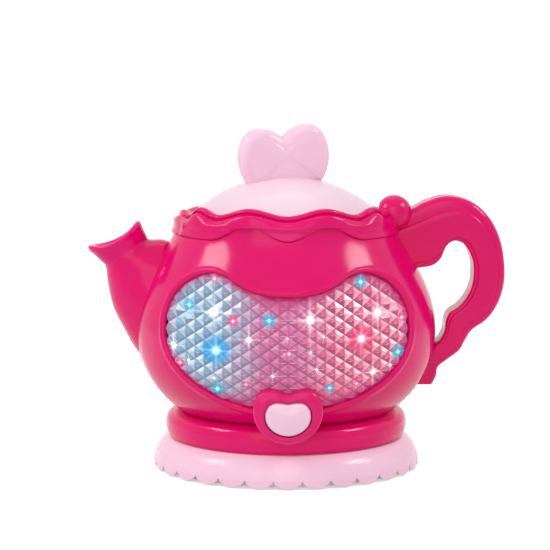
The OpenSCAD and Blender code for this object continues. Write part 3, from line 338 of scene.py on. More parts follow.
class Graph:
    """A node tree with short calls for its nodes."""

    def __init__(self, tree: bpy.types.NodeTree) -> None:
        """Takes the tree of a material, a group or the world."""
        self.nodes, self.links = tree.nodes, tree.links

    def add(self, kind: str, **settings: object) -> bpy.types.Node:
        """Adds a node and sets its properties."""
        node = self.nodes.new(kind)
        for key, value in settings.items():
            setattr(node, key, value)
        return node

    def feed(self, node: bpy.types.Node, *values: object, **named: object) -> None:
        """Links wires or writes values on a node's sockets.

        Args:
            node: the node.
            *values: wires or values for its first sockets, in order.
            **named: wires or values for sockets by name, with an underscore for each space.
        """
        pairs = list(zip(node.inputs, values))
        pairs += [(node.inputs[key.replace("_", " ")], value) for key, value in named.items()]
        for socket, value in pairs:
            if isinstance(value, Wire):
                self.links.new(value.socket, socket)
            else:
                socket.default_value = value

    def out(self, node: bpy.types.Node, name: str | int = 0) -> Wire:
        """One of a node's outputs as a wire."""
        return Wire(self, node.outputs[name])

    def math(self, operation: str, *values: object) -> Wire:
        """One step of arithmetic on wires or numbers."""
        node = self.add("ShaderNodeMath", operation=operation)
        self.feed(node, *values)
        return self.out(node)

    def spread(
        self, value: Wire, low: float, high: float, out_low: float = 0.0, out_high: float = 1.0
    ) -> Wire:
        """Maps values from low to high smoothly onto out_low to out_high."""
        node = self.add("ShaderNodeMapRange", interpolation_type="SMOOTHSTEP")
        self.feed(node, value, low, high, out_low, out_high)
        return self.out(node)

    def seen(self) -> Wire:
        """One for what the camera sees straight, in a reflection or through glass, and otherwise nought."""
        path = self.add("ShaderNodeLightPath")
        kinds = ("Camera", "Glossy", "Transmission")
        straight, glossy, through_glass = (self.out(path, f"Is {kind} Ray") for kind in kinds)
        return self.math("MAXIMUM", self.math("MAXIMUM", straight, glossy), through_glass)


class Finish(Graph):
    """The node tree of one material with a Principled shader."""

    def __init__(self, name: str) -> None:
        """Starts a material of that name."""
        self.material = bpy.data.materials.new(name)
        self.material.use_nodes = True
        super().__init__(self.material.node_tree)
        self.shader = self.nodes["Principled BSDF"]
        self.place = self.out(self.add("ShaderNodeTexCoord"), "Object")

    def parts(self, vector: Wire) -> list[Wire]:
        """The three numbers of a place."""
        node = self.add("ShaderNodeSeparateXYZ")
        self.feed(node, vector)
        return [self.out(node, axis) for axis in "XYZ"]

    def layer(self, name: str) -> Wire:
        """A UV layer of the piece."""
        return self.out(self.add("ShaderNodeUVMap", uv_map=name), "UV")

    def blend(
        self, share: object, first: object, second: object, way: str = "MIX", clamp: bool = True
    ) -> Wire:
        """Mixes two colours.

        Args:
            share: how much of the second shows.
            first: the first colour or wire.
            second: the second colour or wire.
            way: the mixing mode.
            clamp: whether the share is kept from 0 to 1.

        Returns:
            The mixed colour.
        """
        node = self.add("ShaderNodeMix", data_type="RGBA", blend_type=way, clamp_factor=clamp)
        self.feed(node, Factor=share, A=first, B=second)
        return self.out(node, "Result")

    def noise(self, scale: float, detail: float = 2.0, rough: float = 0.5) -> Wire:
        """Noise in the piece's own space, its scale in cycles per metre."""
        node = self.add("ShaderNodeTexNoise")
        self.feed(node, Vector=self.place, Scale=scale, Detail=detail, Roughness=rough)
        return self.out(node, "Fac")

    def bump(self, height: Wire, strength: float, distance: float) -> None:
        """Adds relief of a given depth in metres to the shader's normal."""
        node = self.add("ShaderNodeBump")
        self.feed(node, Strength=strength, Distance=distance, Height=height)
        self.set(Normal=self.out(node, "Normal"))

    def set(self, **values: object) -> None:
        """Writes values or wires on the shader's sockets."""
        self.feed(self.shader, **values)


@dataclass(frozen=True)
class MouldedPlastic:
    """Injection-moulded plastic with slow flow marks, a faint orange peel and fine handling marks."""

    name: str
    colour: Colour
    deep: Colour
    roughness: float = 0.14
    shine: float = 0.2
    milky: float = 0.0

    def make(self) -> Material:
        """Builds the material."""
        tree = Finish(self.name)
        flow = tree.spread(tree.noise(22.0, 3.0), 0.35, 0.7)
        rub = tree.spread(tree.noise(60.0, 4.0, 0.6), 0.4, 0.75, self.roughness, self.roughness + 0.06)
        tree.set(Base_Color=tree.blend(flow, linear(self.colour), linear(self.deep)), Roughness=rub)
        tree.set(IOR=1.5, Specular_IOR_Level=self.shine)
        if self.milky:
            tree.set(Subsurface_Weight=self.milky, Subsurface_Scale=0.004)
            tree.set(Subsurface_Radius=(1.0, 0.55, 0.65))
        tree.bump(tree.noise(140.0, 1.0), 0.06, 0.0001)
        return tree.material


@dataclass(frozen=True)
class MattePlastic:
    """Spark-textured plastic: an even fine grain with a dull sheen."""

    name: str
    colour: Colour
    roughness: float = 0.5
    grain: float = 1800.0

    def make(self) -> Material:
        """Builds the material."""
        tree = Finish(self.name)
        grain = tree.noise(self.grain, 3.0, 0.6)
        dark = tuple(0.86 * c for c in self.colour)
        tree.set(Base_Color=tree.blend(tree.spread(grain, 0.3, 0.7), linear(dark), linear(self.colour)))
        tree.set(Roughness=tree.spread(grain, 0.3, 0.7, self.roughness - 0.06, self.roughness + 0.08))
        tree.bump(grain, 0.3, 0.00006)
        return tree.material


@dataclass(frozen=True)
class PlatedSteel:
    """Zinc-plated steel with fine drawing lines and a few dull spots."""

    name: str
    colour: Colour = (196, 198, 202)

    def make(self) -> Material:
        """Builds the material."""
        tree = Finish(self.name)
        spots = tree.spread(tree.noise(700.0, 4.0, 0.7), 0.45, 0.75)
        dull = tuple(0.72 * c for c in self.colour)
        tree.set(Base_Color=tree.blend(spots, linear(self.colour), linear(dull)), Metallic=1.0)
        tree.set(Roughness=tree.spread(spots, 0.0, 1.0, 0.24, 0.42))
        tree.bump(tree.noise(3000.0, 1.0), 0.15, 0.00003)
        return tree.material


@dataclass(frozen=True)
class Glint:
    """One painted point of light on the facets, which glows by emission: its place on the window, colour, size
    and halo.
    """

    x: float
    z: float
    tint: Colour
    size: float = 1.0
    halo: float = 0.0


@dataclass(frozen=True)
class FacetGlass:
    """Clear moulded facets with their backlight painted on: a lattice of small pyramids over a painted glow
    that runs across.
    """

    name: str
    middle: float
    glints: tuple[Glint, ...]
    # Colours of the painted glow across the window, from left to right: the lamps' coloured light painted into
    # the colour.
    left: Colour = (138, 178, 204)
    centre: Colour = (208, 98, 152)
    right: Colour = (236, 98, 140)
    # Colour multiplied into the glow on each facet's shaded side: painted shade.
    deep: Colour = (168, 176, 190)
    # Dark colour of the painted lines along the grooves between facets: painted shade.
    outline: Colour = (128, 74, 112)
    # Colour of the window's painted darker edge: painted shade and painted reflection of the pink frame under
    # the cover's lip.
    painted_edge_shade: Colour = (186, 60, 120)
    # How far the painted highlight colour goes from the glow towards white.
    painted_highlight_level: float = 0.74
    long_ray: tuple[float, float] = (4.8, 0.44)
    short_ray: tuple[float, float] = (4.4, 0.5)
    core_fall: float = 3.6
    core_light: float = 2.6
    short_light: float = 0.8

    def star(self) -> bpy.types.NodeTree:
        """A group that turns a place into the brightness of a star with four long and four short rays.

        A ray's light is e to the power of minus the way across it times one share and the way along it
        times the other.

        Returns:
            The group, with inputs X and Z in units of the star's size.
        """
        group = bpy.data.node_groups.new("star", "ShaderNodeTree")
        for label in ("X", "Z"):
            group.interface.new_socket(label, in_out="INPUT", socket_type="NodeSocketFloat")
        group.interface.new_socket("Light", in_out="OUTPUT", socket_type="NodeSocketFloat")
        graph = Graph(group)
        begin, end = graph.add("NodeGroupInput"), graph.add("NodeGroupOutput")

        def rays(one: Wire, other: Wire, shares: tuple[float, float]) -> Wire:
            """Two crossed rays, each thin across and long along."""
            thin, long = shares
            ways = ((one, other), (other, one))
            pair = [graph.math("EXPONENT", (a * thin + b * long) * -1.0) for a, b in ways]
            return pair[0] + pair[1]

        x, z = graph.out(begin, "X"), graph.out(begin, "Z")
        core = graph.math("EXPONENT", (x * x + z * z) * -self.core_fall)
        slanted = rays(abs(x + z), abs(x - z), self.short_ray)
        light = core * self.core_light
        graph.feed(end, light + (slanted * self.short_light + rays(abs(x), abs(z), self.long_ray)))
        return group

    def facets(self, tree: Finish, x: Wire, z: Wire) -> Wire:
        """The window without its points of light.

        A painted glow runs across it. On that each facet has a painted lit side and a painted shaded side, a
        painted dark line round it and painted highlight dashes, and then comes the window's painted darker
        edge.

        Args:
            tree: the material's nodes.
            x: way across the window in millimetres.
            z: way up from its middle.

        Returns:
            The colour.
        """
        spread = tree.spread
        u, v = (tree.math("FRACT", part) - 0.5 for part in tree.parts(tree.layer("lattice"))[:2])
        far = tree.math("MAXIMUM", abs(u), abs(v))
        # Painted glow: the lamps' coloured light painted across the window, a noisy blend from left to centre
        # to right.
        sway = tree.noise(38.0) * 26.0 + (x - 13.0)
        glow = tree.blend(spread(sway, -34.0, -12.0), linear(self.left), linear(self.centre))
        glow = tree.blend(spread(sway, 0.0, 28.0), glow, linear(self.right))
        upright, way_out = u - v, (u + v) * spread(x, -4.0, 4.0, -1.0, 1.0)
        # Where the painted highlights show strongly: away from the middle and the bottom of the window.
        reach = spread(abs(x + 4.0), 6.0, 28.0, 0.25, 1.0) * spread(z, -22.0, -6.0, 0.3, 1.0)
        patchy = spread(tree.noise(70.0), 0.34, 0.64, 0.35, 1.0)
        # Painted highlight stroke on each facet's outer side, in patches.
        stroke = spread(way_out, -0.02, 0.16) * spread(far, 0.08, 0.3, 0.25, 1.0)
        pale = stroke * spread(upright, -0.12, 0.12, 0.5, 1.0) * (reach * patchy)
        # Painted shade on each facet's inner side.
        inner = spread(way_out, 0.12, -0.12) * spread(upright, 0.5, -0.3, 0.35, 1.0)
        # Painted shade: dark lines along each facet's edges, the grooves between facets, darker where the
        # highlights are weak.
        line = spread(far, 0.4, 0.485) * spread(reach, 0.2, 1.0, 0.75, 0.4)
        # Painted highlights: a small bright dash in each facet's shaded half, and a thin bright line along one
        # diagonal.
        dash_x, dash_z = way_out + 0.34, upright + 0.02
        dash = spread(dash_x * dash_x + dash_z * dash_z * 5.0, 0.004, 0.04, 0.6, 0.0) * patchy
        ridge = spread(abs(u), 0.05, 0.0, 0.0, 0.35) * patchy
        # The painted shaded side, then the painted lit colour (the glow towards white) laid on through the
        # highlight masks.
        deep = tree.blend(1.0, glow, linear(self.deep), "MULTIPLY")
        shade = tree.blend(inner * (reach * 0.6 + 0.2), glow, deep)
        shade = tree.blend(line, shade, linear(self.outline))
        lit = tree.blend(self.painted_highlight_level, glow, WHITE)
        for share in (pale, dash, ridge):
            shade = tree.blend(share, shade, lit)
        # Painted shade: the window darkens towards its edge, by the rim layer's distance inside the edge, less
        # on the left.
        painted_edge_shade = spread(tree.parts(tree.layer("rim"))[0], 0.0, 9.0, 0.95, 0.0)
        painted_edge_shade = painted_edge_shade * spread(x, -52.0, -20.0, 0.45, 1.0)
        return tree.blend(painted_edge_shade, shade, linear(self.painted_edge_shade))

    def make(self) -> Material:
        """Builds the material: the painted facets, and on them the painted glints with their halos."""
        tree = Finish(self.name)
        x, z = (part * 1000.0 for part in tree.parts(tree.place)[::2])
        z = z - self.middle
        shade = self.facets(tree, x, z)
        star, light = self.star(), (0.0, 0.0, 0.0, 1.0)
        for glint in self.glints:
            way_x, way_z = (x - glint.x) / glint.size, (z - (glint.z - self.middle)) / glint.size
            node = tree.add("ShaderNodeGroup", node_tree=star)
            tree.feed(node, way_x, way_z)
            # Painted halo: the glint's colour laid into the base colour round it.
            if glint.halo:
                way = way_x * way_x + way_z * way_z
                veil = tree.spread(way, 0.1 * glint.halo**2, 1.5 * glint.halo**2, 0.95, 0.0)
                shade = tree.blend(veil, shade, linear(glint.tint))
            # Painted glint light, a pale tint of its colour, added up for the emission.
            tint = tuple(0.35 * c + 0.65 * 255 for c in glint.tint)
            light = tree.blend(tree.out(node), light, linear(tint), "ADD", clamp=False)
        tree.set(Base_Color=shade, Roughness=0.1, IOR=1.5, Specular_IOR_Level=0.3)
        # Painted glow: the window emits the glints' light and a little of its painted colour, though it is no
        # lamp.
        tree.set(Emission_Color=tree.blend(0.12, light, shade, "ADD"), Emission_Strength=1.0)
        return tree.material


@dataclass(frozen=True)
class ScrewWell:
    """A screw well in the rear shell: its place from behind, its radius and its depth."""

    x: float
    z: float
    radius: float = 2.95
    depth: float = 6.0
    floor_hole: float = 1.6
    rim: float = 1.2

    def around(self, radius: float, y: Array | float) -> Array:
        """A circle round the well's axis at a radius, at depths y."""
        q = np.linspace(0, TAU, 48, endpoint=False)
        return np.stack([self.x + radius * np.cos(q), y + 0 * q, self.z + radius * np.sin(q)], axis=1)

    def drill(self, reach: float) -> Array:
        """A closed cylinder along the well, from inside the shell to past it."""
        inside = 12.0
        ends = ((0, inside), (self.radius, inside), (self.radius, reach), (0, reach))
        return np.stack([self.around(r, y) for r, y in ends], axis=1)

    def cup(self, pot: "PotShell") -> Array:
        """The well's wall and floor; its upper ring is where y squared is the pot's r squared less x squared.

        Args:
            pot: the shell that carries the well.

        Returns:
            The closed grid of points, one row for each turn round the well.
        """

        def rim(radius: float, below: float) -> Array:
            """A ring of the well's wall below the pot's surface."""
            ring = self.around(radius, 0.0)
            ring[:, 1] = np.sqrt(pot.radius(ring[:, 2]) ** 2 - ring[:, 0] ** 2) - below
            return ring

        floor = float(np.sqrt(pot.radius(self.z) ** 2 - self.x**2)) - self.depth
        r, out = self.radius - 0.06, self.radius + self.rim
        rings = [rim(out, 1.4), rim(r, 0.3), self.around(r, floor), self.around(self.floor_hole, floor)]
        rings += [self.around(self.floor_hole, floor - self.rim), self.around(out, floor - self.rim)]
        return np.stack(rings, axis=1)


def bored(
    name: str, body: bpy.types.Object, drills: bpy.types.Object, linings: list[Array]
) -> bpy.types.Object:
    """Cuts closed shapes out of a piece and adds linings to it.

    Args:
        name: the new piece's name.
        body: the piece, which is used up.
        drills: the shapes to take away, which are used up.
        linings: grids of points that close both ways, such as the wall and floor of a well.

    Returns:
        The new piece.
    """
    hole = body.modifiers.new("holes", "BOOLEAN")
    hole.operation, hole.solver, hole.object = "DIFFERENCE", "EXACT", drills
    mesh = bpy.data.meshes.new_from_object(body.evaluated_get(bpy.context.evaluated_depsgraph_get()))
    lining = joined("lining", [(grid, Ring.TORUS) for grid in linings], 45)
    with editing(mesh) as edit:
        edit.from_mesh(lining.data)
    for used in (body, drills, lining):
        bpy.data.objects.remove(used)
    mesh.name = name
    return smooth_piece(name, mesh, 45)


@dataclass(frozen=True)
class Coat:
    """What a new piece gets: the body that it rides on and its finish, with the material slot kept beside
    them.
    """

    body: Body
    slot: Slot
    finish: Material

    def dress(self, piece: bpy.types.Object, *nodes: str) -> None:
        """Dresses a piece, sets it on its body in place of its CAD nodes and reports it."""
        piece.data.materials.clear()
        piece.data.materials.append(self.finish)
        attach(piece, self.body.value)
        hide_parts(*nodes)
        faces, body = len(piece.data.polygons), self.body.value
        log.info("%s: %d faces, on %s, for %s", piece.name, faces, body, ", ".join(nodes))

    def make(self, name: str, grids: list[Grid], crease: float, *nodes: str) -> None:
        """Makes a piece of grids, with edges past an angle in degrees left sharp, and dresses it."""
        self.dress(joined(name, grids, crease), *nodes)


@dataclass
class PotShell:
    """The pot's shell: front cover, front and rear halves."""

    rose: Coat
    belly_r: float = 71.8
    belly_z: float = 66.1
    foot_r: float = 51.5
    foot_z: float = 28.4
    mouth_r: float = 52.3
    mouth_z: float = 119.1
    wall: float = 2.2
    cover_y: float = 23.0
    cover_step: float = 0.9
    cover_edge: float = 1.3
    bead: float = 2.6
    middle: float = 67.0
    well_heights: tuple[float, float] = (107.44, 38.2)
    well_inset: float = 5.9
    line: Array = field(init=False)
    window: Array = field(init=False)

    def __post_init__(self) -> None:
        """Works out the pot's outline and the window's."""
        b, f, m, z, low_z = self.belly_r, self.foot_r, self.mouth_r, self.belly_z, self.foot_z
        up, low = self.mouth_z - z, z - low_z
        foot_bend, mouth_bend = f + 0.42 * (b - f), m - 0.08 * (b - m)
        self.line = chain(
            bezier([[f, low_z], [foot_bend, low_z + 0.15 * low], [b, low_z + 0.47 * low], [b, z]], 160),
            bezier([[b, z], [b, z + 0.47 * up], [mouth_bend, z + 0.8 * up], [m, self.mouth_z]], 160),
        )
        w, top, side, bottom, dip = 56.7, z + 32.3, z + 5.3, z - 30.6, 9.7
        self.window = mirrored(chain(
            bezier([[0, bottom], [0.53 * w, bottom], [w, side + 0.6 * (bottom - side)], [w, side]], 80),
            bezier([[w, side], [w, side + 0.76 * (top - side)], [0.71 * w, top], [0.594 * w, top]], 60),
            bezier([[0.594 * w, top], [0.43 * w, top], [0.42 * w, top - dip], [0, top - dip]], 50),
        ))

    def radius(self, z: Array | float) -> Array:
        """Radius of the pot at a height."""
        return np.interp(z, self.line[:, 1], self.line[:, 0])

    def at(self, turn: Array, z: Array, out: Array | float) -> Array:
        """Points of the pot: turned by an angle from the front, at a height, moved out along the normal.

        Args:
            turn: angle from the front in radians, towards the handle.
            z: height.
            out: distance from the surface.

        Returns:
            The points.
        """
        slope = np.interp(z, self.line[:, 1], np.gradient(self.line[:, 0], self.line[:, 1]))
        scale = out / np.sqrt(1 + slope**2)
        return spun(turn, self.radius(z) + scale, z - scale * slope)

    def chart(self, outline: Array) -> tuple[Array, Array]:
        """Puts a front-view outline on the unrolled pot and gives it as polar angle and distance.

        Args:
            outline: x and z of its points.

        Returns:
            The angle from straight down and the distance of each point, from the chart's middle.
        """
        a = self.belly_r * np.arcsin(np.clip(outline[:, 0] / self.radius(outline[:, 1]), -1, 1))
        b = outline[:, 1] - self.middle
        return np.arctan2(a, -b), np.hypot(a, b)

    def build_cover(self) -> None:
        """The raised front cover: a closed ring of rows from the window's edge to the cover's edge.

        A row lies a share of the way along each ray of the chart, and its height follows a section with
        a bead at the window and a rounded outer edge.
        """
        heights = np.linspace(self.foot_z, self.mouth_z, 200)
        side = np.stack([np.sqrt(self.radius(heights) ** 2 - self.cover_y**2), heights], axis=1)
        foot = np.linspace(-1, 1, 60)[:, None] * side[0] * [1, 0] + [0, self.foot_z]
        head = np.linspace(1, -1, 60)[:, None] * side[-1] * [1, 0] + [0, self.mouth_z]
        edge = np.concatenate([foot, side[1:-1], head, (side * [-1, 1])[-2:0:-1]])
        ends = np.array([end * sign for sign in ([1, 1], [-1, 1]) for end in (side[0], side[-1])])
        corners = self.chart(ends)[0]
        rays = np.sort(np.concatenate([np.linspace(-np.pi, np.pi, 480, endpoint=False), corners]))
        lines = (self.window, edge)
        near, far = (np.interp(rays, *self.chart(line), period=TAU)[:, None] for line in lines)
        face, back, swell = self.cover_step, self.cover_step - self.wall, np.linspace(0, np.pi, 11)
        along, drop = rounding(self.cover_edge)
        inward, dip, crest = np.concatenate([[0, 0], self.bead * swell / np.pi]), 0.6, 0.35
        lift = face - dip + dip * np.sin(swell / 2) ** 0.8 + crest * np.sin(swell)
        shares, ways_back = np.linspace(0, 1, 16)[1:-1], np.linspace(1, 0, 12)[1:-1]
        bands = [
            (near + inward, np.concatenate([[back, face - dip], lift])),
            (near + self.bead + shares * (far - self.cover_edge - near - self.bead), face),
            (far - along[::-1], face - drop[::-1]),
            (far, back),
            (near + ways_back * (far - near), back),
        ]
        reach = np.concatenate([r for r, _ in bands], axis=1)
        out = np.concatenate([np.broadcast_to(o, r.shape) for r, o in bands], axis=1)
        z = np.clip(self.middle - reach * np.cos(rays[:, None]), self.foot_z, self.mouth_z)
        grid = self.at(reach * np.sin(rays[:, None]) / self.belly_r, z, out)
        self.rose.make("front_cover_shell", [(grid, Ring.TORUS)], 50, "front_cover")

    def strip(self, begin: Array, end: Array, steps: int) -> Grid:
        """A band of the shell between two turns at each height, closed round its wall and at both heights.

        Args:
            begin: turn of its first edge at each height.
            end: turn of its second edge at each height.
            steps: number of steps between them.

        Returns:
            The grid of points, whose rows run round the wall, and the way it closes.
        """
        z = np.linspace(self.foot_z, self.mouth_z, len(begin))[:, None]
        t = np.linspace(0, 1, steps + 1)[None, :]
        turn = begin[:, None] + (end - begin)[:, None] * t
        nick = 0.45 * np.exp(-(((1 - np.abs(2 * t - 1)) * steps / 1.1) ** 2))
        outer = self.at(turn, z + 0 * turn, -nick)
        inner = self.at(turn[:, ::-1], z + 0 * turn, -self.wall)
        caps = [np.concatenate([inner[k, ::-1], inner[k]])[None] for k in (0, -1)]
        grid = np.concatenate([caps[0], np.concatenate([outer, inner], axis=1), caps[1]])
        return grid.swapaxes(0, 1), Ring.ROUND

    def build_halves(self) -> None:
        """The two halves behind the cover, with a nicked parting line between them."""
        z = np.linspace(self.foot_z, self.mouth_z, 120)
        quarter, gap, lap = np.full(len(z), np.pi / 2), 0.001, 0.15
        near = np.arccos((self.cover_y - lap) / self.radius(z))
        sides = [self.strip(sign * near, sign * (quarter - gap), 26) for sign in (1, -1)]
        self.rose.make("pot_front_sides", sides, 50, "body_front_half")
        shell = joined("rear_shell", [self.strip(quarter + gap, TAU - quarter - gap, 200)], 50)
        wells = []
        for height in self.well_heights:
            x = float(self.radius(height)) - self.wall - self.well_inset
            wells += [ScrewWell(x, height), ScrewWell(-x, height)]
        drills = joined("drills", [(well.drill(self.belly_r), Ring.ROUND) for well in wells], 45)
        rear = bored("pot_rear", shell, drills, [well.cup(self) for well in wells])
        self.rose.dress(rear, "body_rear_half")


@dataclass
class FacetWindow:
    """The lit window: a sheet of small pyramids between the cover's edges."""

    pot: PotShell
    cell_w: float = 8.5
    cell_h: float = 6.1
    proud: float = 0.75
    face: float = -0.95
    thick: float = 1.2
    under_cover: float = 3.4
    reach: int = 26
    heights: tuple[float, float] = (29.0, 118.0)

    def finish(self) -> Material:
        """The facets' material, with painted points of light and halos where the toy's lamps would shine
        through.
        """
        white, cyan, pink = (255, 255, 255), (30, 165, 205), (222, 60, 130)
        blue, red = (0, 148, 208), (216, 42, 100)
        places = {
            white: (
                (-33.2, 81.3, 2.2), (40.8, 80.4, 2.1), (9.8, 78.8, 2.1), (-52.2, 65.0, 1.4),
                (-17.6, 70.0, 1.4), (10.2, 64.6, 0.5), (15.9, 71.2, 0.5), (12.8, 56.4, 0.6),
                (-7.0, 53.5, 0.7), (38.6, 53.6, 1.4), (46.8, 55.8, 0.7), (-45.0, 58.6, 0.8),
                (-33.4, 51.4, 0.6)),
            red: ((33.1, 69.5, 2.6, 2.4),),
            blue: ((-32.4, 64.4, 2.4, 3.0),),
            cyan: (
                (-44.7, 83.6, 0.9, 3.0), (-8.5, 78.6, 0.9, 3.6), (-31.9, 46.1, 0.9, 3.6),
                (33.1, 94.2, 0.9, 3.2), (50.5, 61.6, 1.0, 3.4), (18.8, 47.3, 0.8, 3.0)),
            pink: (
                (-0.4, 70.7, 0.7, 1.6), (0.4, 63.9, 0.8, 2.2), (-24.7, 77.9, 0.8, 3.4),
                (-49.1, 56.9, 0.8, 3.0), (-33.2, 95.7, 0.9, 1.8), (52.4, 77.0, 0.8, 2.6),
                (-18.9, 49.1, 0.6, 2.6), (31.0, 48.6, 0.6, 2.4)),
        }
        glints = [Glint(x, z, tint, *rest) for tint, rows in places.items() for x, z, *rest in rows]
        return FacetGlass("lit_facets", self.pot.belly_z, tuple(glints)).make()

    def unrolled(self, x: Array, z: Array) -> Array:
        """Distance round the pot, which is the belly's radius times the turn, of points in the front view.

        Past nine tenths of the radius the distance goes on evenly, for the rows that no one sees.
        """
        limit, slope = 0.9, 1.6
        share = x / self.pot.radius(np.clip(z, *self.heights))
        inner = np.clip(share, -limit, limit)
        return self.pot.belly_r * (np.arcsin(inner) + slope * (share - inner))

    def past(self, a: Array, b: Array) -> Array:
        """Distance of points of the unrolled pot past the window's edge, along their rays from its middle."""
        middle = self.pot.middle
        edge = np.interp(np.arctan2(a, middle - b), *self.pot.chart(self.pot.window), period=TAU)
        return np.hypot(a, b - middle) - edge

    def sheet(self, a: Array, b: Array, out: float) -> Array:
        """Points of the sheet, drawn in under the cover past the window's edge.

        Args:
            a: distance round the pot.
            b: height on the unrolled pot.
            out: how far they stand out.

        Returns:
            The points, one a row.
        """
        past, middle = self.past(a, b), self.pot.middle
        tuck, sink_run, sink_slope = 1.6, 0.8, 1.2
        pull = 1 - np.clip(past - tuck, 0, None) / np.maximum(np.hypot(a, b - middle), 1)
        depth = out - np.clip(past + sink_run / 2, 0, sink_run) * sink_slope
        height = np.clip(middle + (b - middle) * pull, *self.heights)
        return self.pot.at(a * pull / self.pot.belly_r, height, depth).reshape(-1, 3)

    def build(self) -> None:
        """Pyramids on a lattice of diamonds, even in the front view and carried straight back onto the pot.

        Corner (i, j) lies i + j half widths of a cell across and i - j half heights up. A pyramid's tip is
        the middle of its diamond and stands proud of its corners.
        """
        half_w, half_h, n = self.cell_w / 2, self.cell_h / 2, self.reach
        side = 2 * n + 1
        i, j = np.meshgrid(np.arange(-n, n + 1), np.arange(-n, n + 1), indexing="ij")
        flat_x, corner_b = (i + j) * half_w, (i - j) * half_h + self.pot.belly_z - 0.4
        mid_b = corner_b[:-1, :-1]
        corner_a = self.unrolled(flat_x, corner_b)
        mid_a = self.unrolled(flat_x[:-1, :-1] + half_w, mid_b)
        tip_out = self.face + self.proud
        points = np.concatenate([self.sheet(corner_a, corner_b, self.face), self.sheet(mid_a, mid_b, tip_out)])
        outside = np.concatenate([self.past(corner_a, corner_b).ravel(), self.past(mid_a, mid_b).ravel()])
        cells = np.stack([i, j], axis=2)
        lattice = np.concatenate([cells.reshape(-1, 2), cells[:-1, :-1].reshape(-1, 2) + 0.5])
        keep = outside[side * side:] < self.under_cover
        a = np.arange(side * side).reshape(side, side)[:-1, :-1].ravel()[keep]
        ring, tip = [a, a + side, a + side + 1, a + 1], (side * side + np.arange((side - 1) ** 2))[keep]
        faces = np.concatenate([np.stack([ring[k], ring[(k + 1) % 4], tip], axis=1) for k in range(4)])
        used, faces = np.unique(faces, return_inverse=True)
        mesh = bpy.data.meshes.new("facet_sheet")
        mesh.from_pydata((points[used] * MM).tolist(), [], faces.reshape(-1, 3).tolist())
        order = np.zeros(len(mesh.loops), np.int32)
        mesh.loops.foreach_get("vertex_index", order)
        for label, place in (("lattice", lattice), ("rim", np.stack([-outside, 0 * outside], axis=1))):
            layer = mesh.uv_layers.new(name=label)
            layer.data.foreach_set("uv", place[used][order].astype(np.float32).ravel())
        with editing(mesh) as edit:
            bmesh.ops.recalc_face_normals(edit, faces=edit.faces)
            if sum(f.normal.y for f in edit.faces) > 0:
                bmesh.ops.reverse_faces(edit, faces=edit.faces)
        piece = added("facet_sheet", mesh)
        wall = piece.modifiers.new("wall", "SOLIDIFY")
        wall.thickness, wall.offset = self.thick * MM, -1.0
        Coat(Body.POT, Slot.LENS, self.finish()).dress(piece, "facet_lens")


@dataclass
class HeartButton:
    """The heart bezel and the push button in it."""

    frame: Coat
    push: Coat
    bezel: tuple[float, float, float, float] = (31.7, 25.2, 22.1, 0.085)
    button: tuple[float, float, float, float] = (20.9, 15.5, 26.0, 0.04)
    bezel_y: float = -70.2
    bezel_root: float = -53.0
    bezel_edge: float = 2.4
    bezel_swell: float = 0.5
    pocket_y: float = -58.6
    play: float = 0.3
    button_y: float = -71.8
    button_t: float = 5.0
    button_edge: float = 2.6
    stem_r: float = 2.4
    stem_end: float = -56.8

    def build_bezel(self) -> None:
        """The frame: its heart drawn in round the edge, then in a low swell to the pocket."""
        outer, pocket = heart(*self.bezel, 300), inset(heart(*self.button, 300), -self.play)
        swell, root = self.bezel_swell, self.bezel_root
        top = self.bezel_y + swell
        along, drop = rounding(self.bezel_edge, 8)
        edge = inset(outer, along[-1])
        rings = [(outer, root)] + [(inset(outer, a), top + d) for a, d in zip(along, drop)]
        for s in np.linspace(0.1, 1, 9):
            rings.append((edge + (pocket - edge) * s, top - swell * np.sin(0.9 * np.pi * min(s, 0.98))))
        rings += [(pocket, self.bezel_y + 1.7), (pocket, self.pocket_y), (outer * [0.9, 1], root - 2)]
        self.frame.make("bezel_heart", [(stacked(rings), Ring.TORUS)], 45, "button_bezel")

    def build_button(self) -> None:
        """The cushioned heart and its round stem."""
        face, top, root = heart(*self.button, 240), self.button_y + CROWN, self.button_y + self.button_t
        middle = face.mean(axis=0)
        rings = [(0 * face + middle, root), (face, root)]
        rings += [(ring, top - rise) for ring, rise in pillow(face, middle, self.button_edge, (9, 14))]
        stem, end = middle + circle(self.stem_r, 40), self.stem_end
        axis = 0 * stem + middle
        rod = [(axis, root), (stem, root), (stem, end), (axis, end)]
        grids = [(stacked(part), Ring.ROUND) for part in (rings, rod)]
        self.push.make("heart_push", grids, 45, "heart_button")


